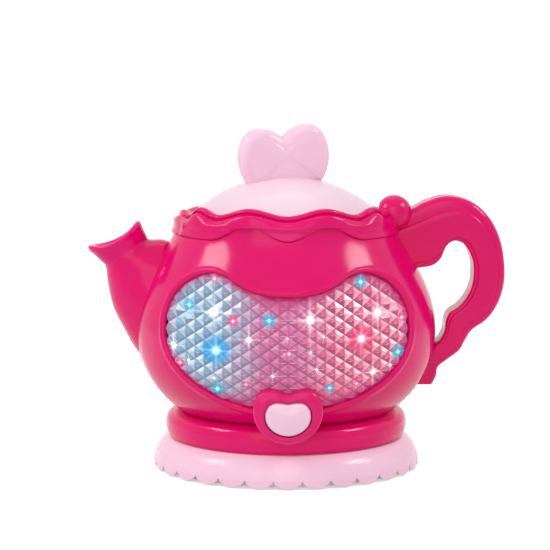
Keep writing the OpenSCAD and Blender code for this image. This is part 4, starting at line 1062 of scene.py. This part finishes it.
@dataclass
class Collar:
    """The ruffled collar round the mouth, with its bead, crease and round end lobe."""

    pot: PotShell
    rose: Coat
    crest_r: float = 48.6
    rise: float = 4.4
    wave: float = 3.4
    hem_wave: float = 6.3
    thick: float = 1.5
    hem_t: float = 0.9
    flare: float = 1.2
    inner_r: float = 44.8
    ledge_r: float = 49.8
    ledge_low: float = 114.7
    seat_z: float = 116.0
    lip_z: float = 117.0
    well_r: float = 42.1
    ball_r: float = 8.4
    waves: int = 9
    side_drop: float = 1.8
    rear_share: float = 0.3
    turns: int = 540
    front_marks: tuple[float, ...] = (0, 20, 40, 52, 65, 77, 90)
    front_tops: tuple[float, ...] = (4.6, 7.9, 4.5, 7.4, 3.7, 4.9, 2.6)

    def waves_at(self, q: Array) -> tuple[Array, Array, Array]:
        """The waves of the rim and of the hem.

        In front the rim goes from mark to mark in half cosines and ends in two lobes at each side. Behind
        the sides it makes low even waves. The hem follows the waves up to its second dip and stays low there.

        Args:
            q: turns from the front, in radians.

        Returns:
            The rim's height over the mouth, the hem's wave from 0 to 1 and the share of the cover that
            lies under the hem, at each turn.
        """
        rear = np.abs(q) > np.pi / 2
        fold = np.degrees(np.where(rear, np.pi - np.abs(q), np.abs(q)))
        marks, tops = np.array(self.front_marks), np.array(self.front_tops)
        k = np.clip(np.searchsorted(marks, fold, side="right") - 1, 0, len(marks) - 2)
        share = (1 - np.cos(np.pi * (fold - marks[k]) / (marks[k + 1] - marks[k]))) / 2
        front = tops[k] + (tops[k + 1] - tops[k]) * share
        even_wave = (1 - np.cos(np.radians(np.minimum(fold, 80)) * self.waves)) / 2
        low = self.rise - self.side_drop + self.wave * self.rear_share * even_wave
        hem = even_wave * np.where(rear, self.rear_share, fold < 40)
        return np.where(rear, low, front), hem, 1 - np.clip((fold - 62) / 6, 0, 1) * 0.9

    def ball(self) -> Array:
        """The ball at the handle, kept clear of the lid and of the pot's mouth."""
        a = np.linspace(0, np.pi, 41)
        grid = lathe(np.stack([self.ball_r * np.sin(a), -self.ball_r * np.cos(a)], axis=1), 72)
        grid += [self.crest_r + 0.3 * self.ball_r, -0.95 * self.ball_r, self.pot.mouth_z + 0.35 * self.ball_r]
        r = np.hypot(grid[..., 0], grid[..., 1])
        grid[..., :2] *= np.maximum(1.0, (self.inner_r + 0.2) / r)[..., None]
        inside = (grid[..., 2] < self.pot.mouth_z) & (r < self.pot.radius(grid[..., 2]) + 0.5)
        grid[..., 2] = np.where(inside, self.pot.mouth_z + 0.3, grid[..., 2])
        return grid

    def build(self) -> None:
        """The collar: at each turn a closed section whose height, hem and flare follow the waves."""
        q = np.linspace(-np.pi, np.pi, self.turns, endpoint=False)
        height, hem_share, under_hem = self.waves_at(q)
        pot, t, edge, r = self.pot, self.thick, self.hem_t, self.crest_r
        step, mouth_z, top = pot.cover_step * under_hem, pot.mouth_z, pot.mouth_z + height
        k = np.minimum(1.0, (height - 0.1) / 4.3)
        hem = mouth_z - self.hem_wave * (1 - hem_share) - edge / 2
        hem_r, half, cover_r = pot.radius(hem) + step + 0.22, 0.5 * (hem + mouth_z), pot.mouth_r + step
        out = self.flare * np.clip((height - self.rise) / self.wave, 0, 1)
        curve = [
            (self.inner_r, top - 3.0 * k),
            (r - 0.95 * t + 0.6 * out, top - 1.5 * k), (r - 0.55 * t + 0.6 * out, top - 0.5),
            (r + 0.1 * t + 0.8 * out, top - 0.05), (r + 0.75 * t + out, top - 0.1),
            (r + 1.35 * t + out, top - 0.55 * k), (r + 1.6 * t + out, top - 1.2 * k),
            (r + 1.46 * t + out, top - 1.8 * k), (r + 1.22 * t + out, top - 2.2 * k),
            (r + 1.6 * t + out, top - 2.55 * k), (r + 2.3 * t + 0.97 * out, top - 3.0 * k),
            (r + 3.0 * t + 0.94 * out, top - 3.9 * k), (cover_r + 0.85 * t + 0.5 * out, mouth_z - 0.3),
            (pot.radius(half) + step + 0.22 + 1.1 * edge + 0.2 * out, half - 0.1),
            (hem_r + 0.95 * edge, hem + 0.95), (hem_r + 0.85 * edge, hem + 0.4),
            (hem_r + 0.55 * edge, hem + 0.08), (hem_r + 0.2 * edge, hem + 0.05),
        ]
        inside = [
            (hem_r, hem + 0.35), (cover_r + 0.3, mouth_z + 0.15), (self.ledge_r, mouth_z + 0.15),
            (self.ledge_r, self.ledge_low), (self.well_r, self.ledge_low), (self.well_r, self.seat_z),
            (self.inner_r, self.seat_z), (self.inner_r, self.lip_z),
        ]
        flat, fine = (
            np.stack([np.stack(np.broadcast_arrays(*station, q)[:2], axis=1) for station in part])
            for part in (inside, curve))
        rows = np.concatenate([flat[-1:], through(fine, 3), flat[:-1]]).swapaxes(0, 1)
        ring = spun(q[:, None], rows[..., 0], rows[..., 1])
        self.rose.make("collar_ruffle", [(ring, Ring.TORUS), (self.ball(), Ring.ROUND)], 60, "ruffled_collar")


@dataclass
class Lid:
    """The dome and its heart knob."""

    pale: Coat
    blush: Coat
    edge_r: float = 44.2
    low: float = 118.35
    edge_z: float = 121.95
    dome_r: float = 66.0
    wall: float = 2.0
    knob_w: float = 45.2
    knob_h: float = 28.6
    knob_t: float = 13.0
    knob_edge: float = 4.9
    turn: float = 20.0
    roll: float = 5.0
    centre: float = field(init=False)

    def __post_init__(self) -> None:
        """Works out the height of the dome's centre."""
        self.centre = self.edge_z - np.sqrt(self.dome_r**2 - self.edge_r**2)

    def arc(self, r: float, edge: float, count: int) -> Array:
        """Radius and height along the dome's arc, from its top to a distance from the axis."""
        a = np.linspace(0, np.arcsin(edge / r), count)
        return np.stack([r * np.sin(a), self.centre + r * np.cos(a)], axis=1)

    def build_dome(self) -> None:
        """The dome: a circular arc to the rim, turned round the axis with its wall inside."""
        r, low = self.edge_r, self.low
        top = self.arc(self.dome_r, r, 60)[::-1]
        inner = self.arc(self.dome_r - self.wall, r - self.wall, 40)
        top[0] += [-0.35, 0.1]
        rim = [[r - self.wall, low + 0.4], [r - self.wall + 0.4, low], [r - 0.5, low], [r, low + 0.5],
               [r, self.edge_z - 0.8]]
        self.pale.make("lid_dome", [(lathe(np.concatenate([rim, top, inner]), 240), Ring.TORUS)], 50, "lid")

    def knob_outline(self, base: float) -> Array:
        """The knob's heart with a broad foot instead of a point, as x and z."""
        shares = np.array([[0.37, 0], [0.45, 0.12], [0.5, 0.3], [0.5, 0.5], [0.5, 0.76], [0.42, 1], [0.27, 1],
                           [0.16, 1], [0.07, 0.92], [0, 0.81]])
        at = shares * [self.knob_w, self.knob_h] + [0, base]
        half = chain(bezier(at[:4], 40), bezier(at[3:7], 50), bezier(at[6:], 40))
        return even(mirrored(np.concatenate([[[0, base]], half])), 300)

    def build_knob(self) -> None:
        """The puffy heart in two halves, each drawn in along a rounded edge and then to its middle."""
        base = self.centre + self.dome_r - 0.17 * self.knob_h
        outline, middle = self.knob_outline(base), np.array([0, base + 0.5 * self.knob_h])
        face = pillow(outline, middle, self.knob_edge, (10, 16))
        seam = [(0 * outline + middle, 0.08), (inset(outline, 0.5), 0.08)]
        seam += [(inset(outline, 0.12), 0.1), (outline, 0.4)]
        t, r = np.radians(self.turn), np.radians(-self.roll)
        for name, side, node in (("knob_front", -1, "heart_knob_front"), ("knob_rear", 1, "heart_knob_rear")):
            rings = seam + [(ring, self.knob_t / 2 - CROWN + rise) for ring, rise in face]
            x, y, z = np.moveaxis(stacked([(ring, side * y) for ring, y in rings]), 2, 0)
            z = z - base
            x, z = x * np.cos(r) + z * np.sin(r), -x * np.sin(r) + z * np.cos(r) + base
            grid = np.stack([x * np.cos(t) - y * np.sin(t), x * np.sin(t) + y * np.cos(t), z], axis=2)
            self.blush.make(name, [(grid, Ring.ROUND)], 60, node)


@dataclass
class Spout:
    """The curved spout and its flared lip."""

    rose: Coat
    magenta: Coat
    belly_r: float = 71.8
    reach: float = 14.5
    root_z: float = 31.1
    height: float = 64.5
    mouth_w: float = 21.6
    root_w: float = 44.0
    wall: float = 2.2
    lip_len: float = 11.7
    lip_w: float = 25.0
    lip_tilt: float = 5.4
    lip_wall: float = 4.2
    lip_round: float = 2.8
    lip_hollow: float = 8.0
    lip_saddle: float = 3.4
    steps: int = 10

    def edge(self, shares: Sequence[Sequence[float]]) -> Array:
        """Stations of one edge of the spout, from shares of its reach and height."""
        return np.array(shares) * [-self.reach, self.height] + [-self.belly_r, self.root_z]

    def flare(self, s: float) -> Array:
        """The lip's ellipse at a share of its length: it widens and tilts with the share squared.

        Args:
            s: share of the lip's length, from the tube to the rim.

        Returns:
            One row: its middle and its half axis as x and z, its half width, and the saddle's dip.
        """
        lo, up = self.edge([[1, 1], [-0.44, 1.203]])
        root = np.linalg.norm(up - lo) / 2
        along = (up - lo) / (2 * root)
        out = np.array([-along[1], along[0]])
        turn, floor = np.radians(self.lip_tilt * s * s), 1 - self.lip_hollow / self.lip_len
        middle = (lo + up) / 2 + out * self.lip_len * s - along * 0.42 * self.wall * s
        axis = (along * np.cos(turn) - out * np.sin(turn)) * root * (1 + 0.2 * s * s)
        half = (self.mouth_w + (self.lip_w - self.mouth_w) * s * s) / 2
        return np.array([[*middle, *axis, half, max(0.0, s - floor) / (1 - floor) * self.lip_saddle]])

    @staticmethod
    def ring(rows: Array, thin: float, nick: float = 0.0) -> Array:
        """Ellipses: the middle plus the half axis times a cosine, the half width times a sine.

        Args:
            rows: for each ring its middle x and z, half axis x and z, half width and dip.
            thin: how far each ring is drawn in.
            nick: depth of the parting line on top and below, as a share of the radius.

        Returns:
            The rings' points.
        """
        q = np.linspace(0, TAU, 144, endpoint=False)[None, :]
        x, z, ax, az, half, dip = (rows[:, k:k + 1] for k in range(6))
        length = np.hypot(ax, az)
        share = (1 - thin / length) * (1 - nick * np.exp(-((np.sin(q) * half / 0.3) ** 2)))
        low = np.maximum(dip, 0) * np.sin(q) ** 2
        return np.stack([x + ax * np.cos(q) * share + az / length * low, -(half - thin) * np.sin(q),
                         z + az * np.cos(q) * share - ax / length * low], axis=2)

    def build(self) -> None:
        """The tube and the lip from one run of ellipses, from the rim to the pot, which meet in one ring."""
        edge, floor = 1 - self.lip_round / self.lip_len, 1 - self.lip_hollow / self.lip_len
        low = self.edge([[1, 1], [0.93, 0.87], [0.76, 0.7], [0.42, 0.54], [0, 0.375], [-0.68, 0.2]])
        top = self.edge([
            [-0.44, 1.203], [-0.88, 1.2], [-1.23, 1.165], [-1.64, 1.07], [-2.06, 0.95], [-2.47, 0.82]])
        wide = (self.mouth_w + np.array([[0, 0.2, 0.48, 0.75, 0.95, 1]]).T * (self.root_w - self.mouth_w)) / 2
        tube = np.concatenate([(low + top) / 2, (top - low) / 2, wide, 0 * wide], axis=1)
        lip = [self.flare(s) for s in (edge, 0.56, 0.28)]
        rows, seam = through(np.concatenate(lip + [tube]), self.steps), self.steps * len(lip)
        shared = rows[seam:seam + 1]
        outer, inner = self.ring(rows[seam + 1:], 0, 0.03), self.ring(rows[:seam - 1:-1], self.wall)
        tube = np.concatenate([self.ring(shared, 0), outer, inner])
        self.rose.make("spout_tube", [(tube, Ring.TORUS)], 50, "spout_front_half", "spout_rear_half")
        parts = [self.ring(shared, self.wall), self.ring(rows[seam::-1], 0)]
        for w in np.linspace(0, np.pi, 13)[1:]:
            over = self.flare(edge + self.lip_round / self.lip_len * np.sin(w))
            parts.append(self.ring(over, self.lip_wall * (1 - np.cos(w)) / 2))
        parts += [self.ring(self.flare(s), self.lip_wall) for s in np.linspace(edge, floor, 8)[1:]]
        parts.append(self.ring(self.flare(floor - 0.03), self.lip_wall + 1.2))
        lip = with_ends(np.concatenate(parts)).swapaxes(0, 1)
        self.magenta.make("spout_flare", [(lip, Ring.ROUND)], 50, "spout_lip")


@dataclass
class Handle:
    """The loop handle with its parting line and raised faces, which fade out before its lower end."""

    rose: Coat
    belly_r: float = 71.8
    reach: float = 32.5
    low: float = 39.6
    height: float = 90.1
    thick: float = 20.0
    face_t: float = 0.9
    outer_bevel: tuple[float, float] = (4.5, 3.5)
    inner_round: float = 1.5
    seam: float = 0.35
    plain_rows: int = 23
    fade_rows: int = 26

    def edge(self, shares: Sequence[Sequence[float]]) -> Array:
        """Fine stations of one edge of the handle, from shares of its reach and height."""
        return through(np.array(shares) * [self.reach, self.height] + [self.belly_r, self.low], 8)

    def build(self) -> None:
        """The handle: between its outer and inner edge a rounded section with a raised face on each side."""
        outer = self.edge([
            [-0.6, 0.9], [-0.338, 0.939], [-0.178, 0.97], [0.098, 1], [0.375, 0.988], [0.606, 0.946],
            [0.806, 0.866], [0.938, 0.76], [0.997, 0.638], [0.991, 0.527], [0.898, 0.422], [0.745, 0.344],
            [0.529, 0.287], [0.431, 0.233], [0.345, 0.178], [0.175, 0.131], [0.034, 0.089], [0.005, 0.04],
            [-0.05, 0]])
        inner = self.edge([
            [-0.56, 0.6], [-0.31, 0.62], [-0.08, 0.634], [0.052, 0.671], [0.129, 0.733], [0.246, 0.765],
            [0.391, 0.749], [0.483, 0.699], [0.535, 0.638], [0.529, 0.544], [0.452, 0.472], [0.329, 0.416],
            [0.197, 0.383], [0.138, 0.339], [0.123, 0.289], [0.062, 0.239], [-0.03, 0.205], [-0.178, 0.117],
            [-0.34, 0]])
        width = np.linalg.norm(inner - outer, axis=1)[:, None]
        left = len(outer) - self.plain_rows - np.arange(len(outer))[:, None]
        fade = np.clip(left / self.fade_rows, 0, 1)
        base, face = self.thick / 2 - self.face_t, self.face_t * fade * fade * (3 - 2 * fade)
        a, (lip_a, lip_d) = np.linspace(0, np.pi / 2, 9), rounding(0.8, 4)
        way, drop = 1 - np.cos(a), 1 - np.sin(a)
        start, stop, (bevel_w, bevel_h) = 0.26 * width, np.maximum(0.09 * width, 1.9), self.outer_bevel
        step_up, round_r = base + (1 - lip_d / self.face_t) * face, self.inner_round
        section = [
            (self.seam, 0.05), (np.minimum(bevel_w, start - 0.4) * way, base - bevel_h * drop),
            (start - 0.12, base), (start + lip_a, step_up), (0.36 * width, base + face),
            (0.5 * width, base + face), (0.64 * width, base + face),
            (width - (stop + lip_a)[:, ::-1], step_up[:, ::-1]), (width - stop + 0.12, base),
            (width - round_r * way[::-1], base - round_r * drop[::-1]), (width - self.seam, 0.05),
        ]
        pairs = [np.broadcast_arrays(*pair, width) for pair in section]
        w, y = (np.concatenate([pair[k] for pair in pairs], axis=1) for k in (0, 1))
        w, y = (np.concatenate([part, sign * part[:, -2:0:-1]], axis=1) for part, sign in ((w, 1), (y, -1)))
        x, z = (outer[:, k:k + 1] + (inner - outer)[:, k:k + 1] * w / width for k in (0, 1))
        grid = with_ends(np.stack([x, y, z], axis=2)).swapaxes(0, 1)
        self.rose.make("handle_loop", [(grid, Ring.ROUND)], 38, "handle_front_half", "handle_rear_half")


@dataclass
class Base:
    """The base ring and the scalloped skirt."""

    rose: Coat
    blush: Coat
    ring_r: float = 58.0
    ring_z: float = 15.15
    ring_h: float = 13.1
    ring_wall: float = 4.4
    deck_t: float = 2.2
    deck_hole_r: float = 31.0
    skirt_r: float = 63.9
    skirt_h: float = 15.0
    skirt_top_r: float = 55.0
    skirt_wall: float = 2.0
    flange_r: float = 50.0
    lift: float = 0.6
    scallops: int = 30
    notch: float = 3.4
    flute: float = 0.35

    def build_ring(self) -> None:
        """The round band: two cubic curves up its outside, then its deck and its inner wall."""
        r, z, h, inner, t = self.ring_r, self.ring_z, self.ring_h, self.ring_r - self.ring_wall, self.deck_t
        top = z + h
        outside = chain(
            bezier([[r - 1.4, z], [r - 0.5, z + 0.12 * h], [r, z + 0.28 * h], [r, z + 0.45 * h]], 16),
            bezier([[r, z + 0.45 * h], [r, z + 0.86 * h], [r - 4, top], [r - 10, top]], 30),
        )
        rest = [[self.deck_hole_r, top], [self.deck_hole_r, top - t], [r - 10, top - t],
                [inner, top - t - self.ring_wall], [inner, z]]
        band = lathe(np.concatenate([outside, rest]), 240)
        self.rose.make("base_band", [(band, Ring.TORUS)], 40, "base_ring")

    def build_skirt(self) -> None:
        """The skirt: a curve down from its top edge to a hem of half-round scallops.

        The hem rises by 1 - sqrt(1 - d * d), where d is the way from a scallop's middle.
        """
        r, h, tr, wall, widest = self.skirt_r, self.skirt_h, self.skirt_top_r, self.skirt_wall, 0.97
        q = np.linspace(-np.pi, np.pi, self.scallops * 24, endpoint=False)[:, None]
        way = np.abs(((q * self.scallops / TAU + 0.5) % 1) - 0.5) * 2
        hem = self.lift + self.notch * (1 - np.sqrt(1 - (widest * way) ** 2)) / (1 - np.sqrt(1 - widest**2))
        curve = chain(np.array([[r, self.lift], [r, 0.27 * h]]),
                      bezier([[r, 0.27 * h], [r - 0.9, 0.67 * h], [0.5 * (r + tr), 0.95 * h], [tr, h]], 40))
        s = np.linspace(0, 1, 40)[None, :]
        z = hem + (h - hem) * s
        skin = np.interp(z, curve[:, 1], curve[:, 0])
        outer = skin - self.flute * way**2 * np.clip(1 - s / 0.8, 0, 1)
        flange, inner = 0 * hem + self.flange_r, (skin - wall)[:, ::-1]
        radius = np.concatenate([outer, flange, flange, inner], axis=1)
        up = 0 * hem + h
        height = np.concatenate([z, up, up - wall, np.minimum(z, h - wall)[:, ::-1]], axis=1)
        self.blush.make("skirt_scallops", [(spun(q, radius, height), Ring.TORUS)], 50, "scalloped_skirt")


@dataclass
class KeptParts:
    """The CAD parts that keep their own meshes and get their finishes here."""

    nodes: dict[str, bpy.types.Object]
    blush: Material

    def dress(self) -> None:
        """Gives every kept node the finish of its kind."""
        screws = "knob_screw door_screw shell_screws cover_screws deck_screws base_screws"
        springs = "button_spring contact_springs battery_contacts"
        black = "button_switch speaker sound_chip switch_slider"
        kinds = (
            (PlatedSteel("plated_steel"), screws),
            (PlatedSteel("spring_steel", (176, 178, 184)), springs),
            (MattePlastic("green_board", (34, 112, 66), 0.38, 900.0), "led_board main_board"),
            (MattePlastic("black_nylon", (32, 32, 35)), black),
            (MattePlastic("grey_case", (150, 150, 156)), "switch_housing"),
            (MouldedPlastic("cell_sleeve", (52, 104, 74), (44, 92, 64), 0.3), "batteries"),
            (MouldedPlastic("wire_cover", (186, 40, 44), (170, 30, 36), 0.35), "wires"),
            (MouldedPlastic("pearl_tray", (232, 224, 236), (222, 212, 230), 0.25), "reflector_tray"),
            (MouldedPlastic("lamp_epoxy", (224, 238, 246), (210, 228, 240), 0.08), "leds"),
        )
        finishes = [(self.blush, "tea_well bottom_plate battery_door")]
        finishes += [(kind.make(), names) for kind, names in kinds]
        for finish, names in finishes:
            for name in names.split():
                mesh = self.nodes[name].data
                mesh.materials.clear()
                mesh.materials.append(finish)
                log.info("%s keeps its CAD mesh, in %s", name, finish.name)


@dataclass
class Studio:
    """A white sweep, soft lamps and the camera at the photograph's angle."""

    distance: float = 0.957
    elevation: float = 7.1
    azimuth: float = -0.8
    target: Place = (0.0, 0.0, 0.08)
    pixels_per_mm: float = 2.08
    frame_px: float = 550.0
    aim_px: tuple[float, float] = (286.0, 298.6)
    paper_white: float = 0.78
    paper_glow: float = 0.5
    room_light: float = 0.42

    def aim(self, thing: bpy.types.Object, place: Sequence[float]) -> None:
        """Stands a lamp or the camera at a place in metres, upright and turned to the target."""
        back = np.array(place) - self.target
        back = back / np.linalg.norm(back)
        right = np.cross([0, 0, 1], back)
        right = right / np.linalg.norm(right)
        turn = Matrix(np.stack([right, np.cross(back, right), back], axis=1).tolist())
        thing.matrix_world = Matrix.Translation(tuple(place)) @ turn.to_4x4()

    def camera(self) -> None:
        """The camera: its place on a ray from the target, its lens from the scale at that distance."""
        e, a = np.radians(self.elevation), np.radians(self.azimuth)
        data = bpy.data.cameras.new("camera")
        data.sensor_width = 36.0
        data.lens = self.pixels_per_mm * self.distance / MM / self.frame_px * data.sensor_width
        data.shift_x = 0.5 - self.aim_px[0] / self.frame_px
        data.shift_y = self.aim_px[1] / self.frame_px - 0.5
        camera = added("camera", data)
        ray = np.array([np.sin(a) * np.cos(e), -np.cos(a) * np.cos(e), np.sin(e)])
        self.aim(camera, self.target + self.distance * ray)
        bpy.context.scene.camera = camera

    def lamp(self, name: str, place: Place, size: tuple[float, float], power: float) -> None:
        """A soft box that faces the teapot.

        Args:
            name: the lamp's name.
            place: where it stands, in metres.
            size: its width and height in metres.
            power: its power in watts.
        """
        data = bpy.data.lights.new(name, "AREA")
        data.shape, data.energy = "RECTANGLE", power
        data.size, data.size_y = size
        self.aim(added(name, data), place)

    def paper(self) -> Material:
        """A pale paper that shows white to the camera and in reflections, and keeps the shadow."""
        tree = Finish("white_paper")
        level = self.paper_white
        tree.set(Base_Color=(level, level, level, 1.0), Roughness=0.9)
        tree.bump(tree.noise(400.0), 0.05, 0.0001)
        tree.set(Emission_Color=WHITE, Emission_Strength=tree.seen() * self.paper_glow)
        return tree.material

    def sweep(self) -> None:
        """The floor that curves up into the backdrop: a flat run, a quarter circle and a wall."""
        near, far, radius, top, side = -1600.0, 900.0, 400.0, 2200.0, 2200.0
        a = np.linspace(0, np.pi / 2, 16)
        bend = np.stack([far + radius * np.sin(a), radius - radius * np.cos(a)], axis=1)
        line = np.concatenate([[[near, 0.0]], bend, [[far + radius, top]]])
        across = np.linspace(-side, side, 12)[:, None]
        grid = np.stack(np.broadcast_arrays(across, line[:, 0], line[:, 1]), axis=2)
        mesh = grid_mesh("sweep", [(grid, Ring.OPEN)])
        mesh.shade_smooth()
        mesh.materials.append(self.paper())
        added("sweep", mesh)

    def world(self) -> None:
        """The world: dim for the light on the object, white where it is seen."""
        world = bpy.data.worlds.new("studio")
        world.use_nodes = True
        graph = Graph(world.node_tree)
        strength = graph.seen() * (1.0 - self.room_light) + self.room_light
        graph.feed(graph.nodes["Background"], Color=WHITE, Strength=strength)
        bpy.context.scene.world = world

    def build(self) -> None:
        """Sets up the whole studio."""
        self.camera()
        self.sweep()
        self.world()
        self.lamp("left_box", (-0.82, -0.13, 0.8), (0.4, 0.28), 4.7)
        self.lamp("right_box", (0.82, -0.13, 0.8), (0.36, 0.26), 4.3)
        self.lamp("top_box", (0.0, 0.42, 0.9), (0.4, 0.25), 0.3)
        self.lamp("front_box", (-0.2, -1.0, 0.5), (0.9, 0.9), 3.6)
        bpy.context.scene.view_settings.view_transform = "Standard"


def main() -> None:
    """Builds the studio and every piece."""
    logging.basicConfig(level=logging.INFO, format="%(name)s: %(message)s")
    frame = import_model()
    Studio().build()
    rose_plastic = MouldedPlastic("rose_plastic", (226, 4, 106), (220, 2, 100)).make()
    bezel_plastic = MouldedPlastic("bezel_plastic", (228, 20, 112), (222, 16, 106)).make()
    magenta_plastic = MouldedPlastic("magenta_plastic", (230, 0, 118), (224, 0, 112)).make()
    blush_plastic = MouldedPlastic("blush_plastic", (249, 208, 228), (246, 203, 224), milky=0.08).make()
    pale_plastic = MouldedPlastic("pale_plastic", (241, 212, 225), (238, 207, 221), milky=0.08).make()
    rose = Coat(Body.POT, Slot.ROSE, rose_plastic)
    pot = PotShell(rose)
    pot.build_cover()
    pot.build_halves()
    FacetWindow(pot).build()
    bezel = Coat(Body.POT, Slot.ROSE, bezel_plastic)
    button = HeartButton(bezel, Coat(Body.BUTTON, Slot.BLUSH, blush_plastic))
    button.build_bezel()
    button.build_button()
    Collar(pot, rose).build()
    lid = Lid(Coat(Body.LID, Slot.PALE_LID, pale_plastic), Coat(Body.LID, Slot.BLUSH, blush_plastic))
    lid.build_dome()
    lid.build_knob()
    Spout(rose, Coat(Body.POT, Slot.MAGENTA, magenta_plastic)).build()
    Handle(rose).build()
    base = Base(rose, Coat(Body.POT, Slot.BLUSH, blush_plastic))
    base.build_ring()
    base.build_skirt()
    KeptParts(frame["nodes"], blush_plastic).dress()


if __name__ == "__main__":
    main()
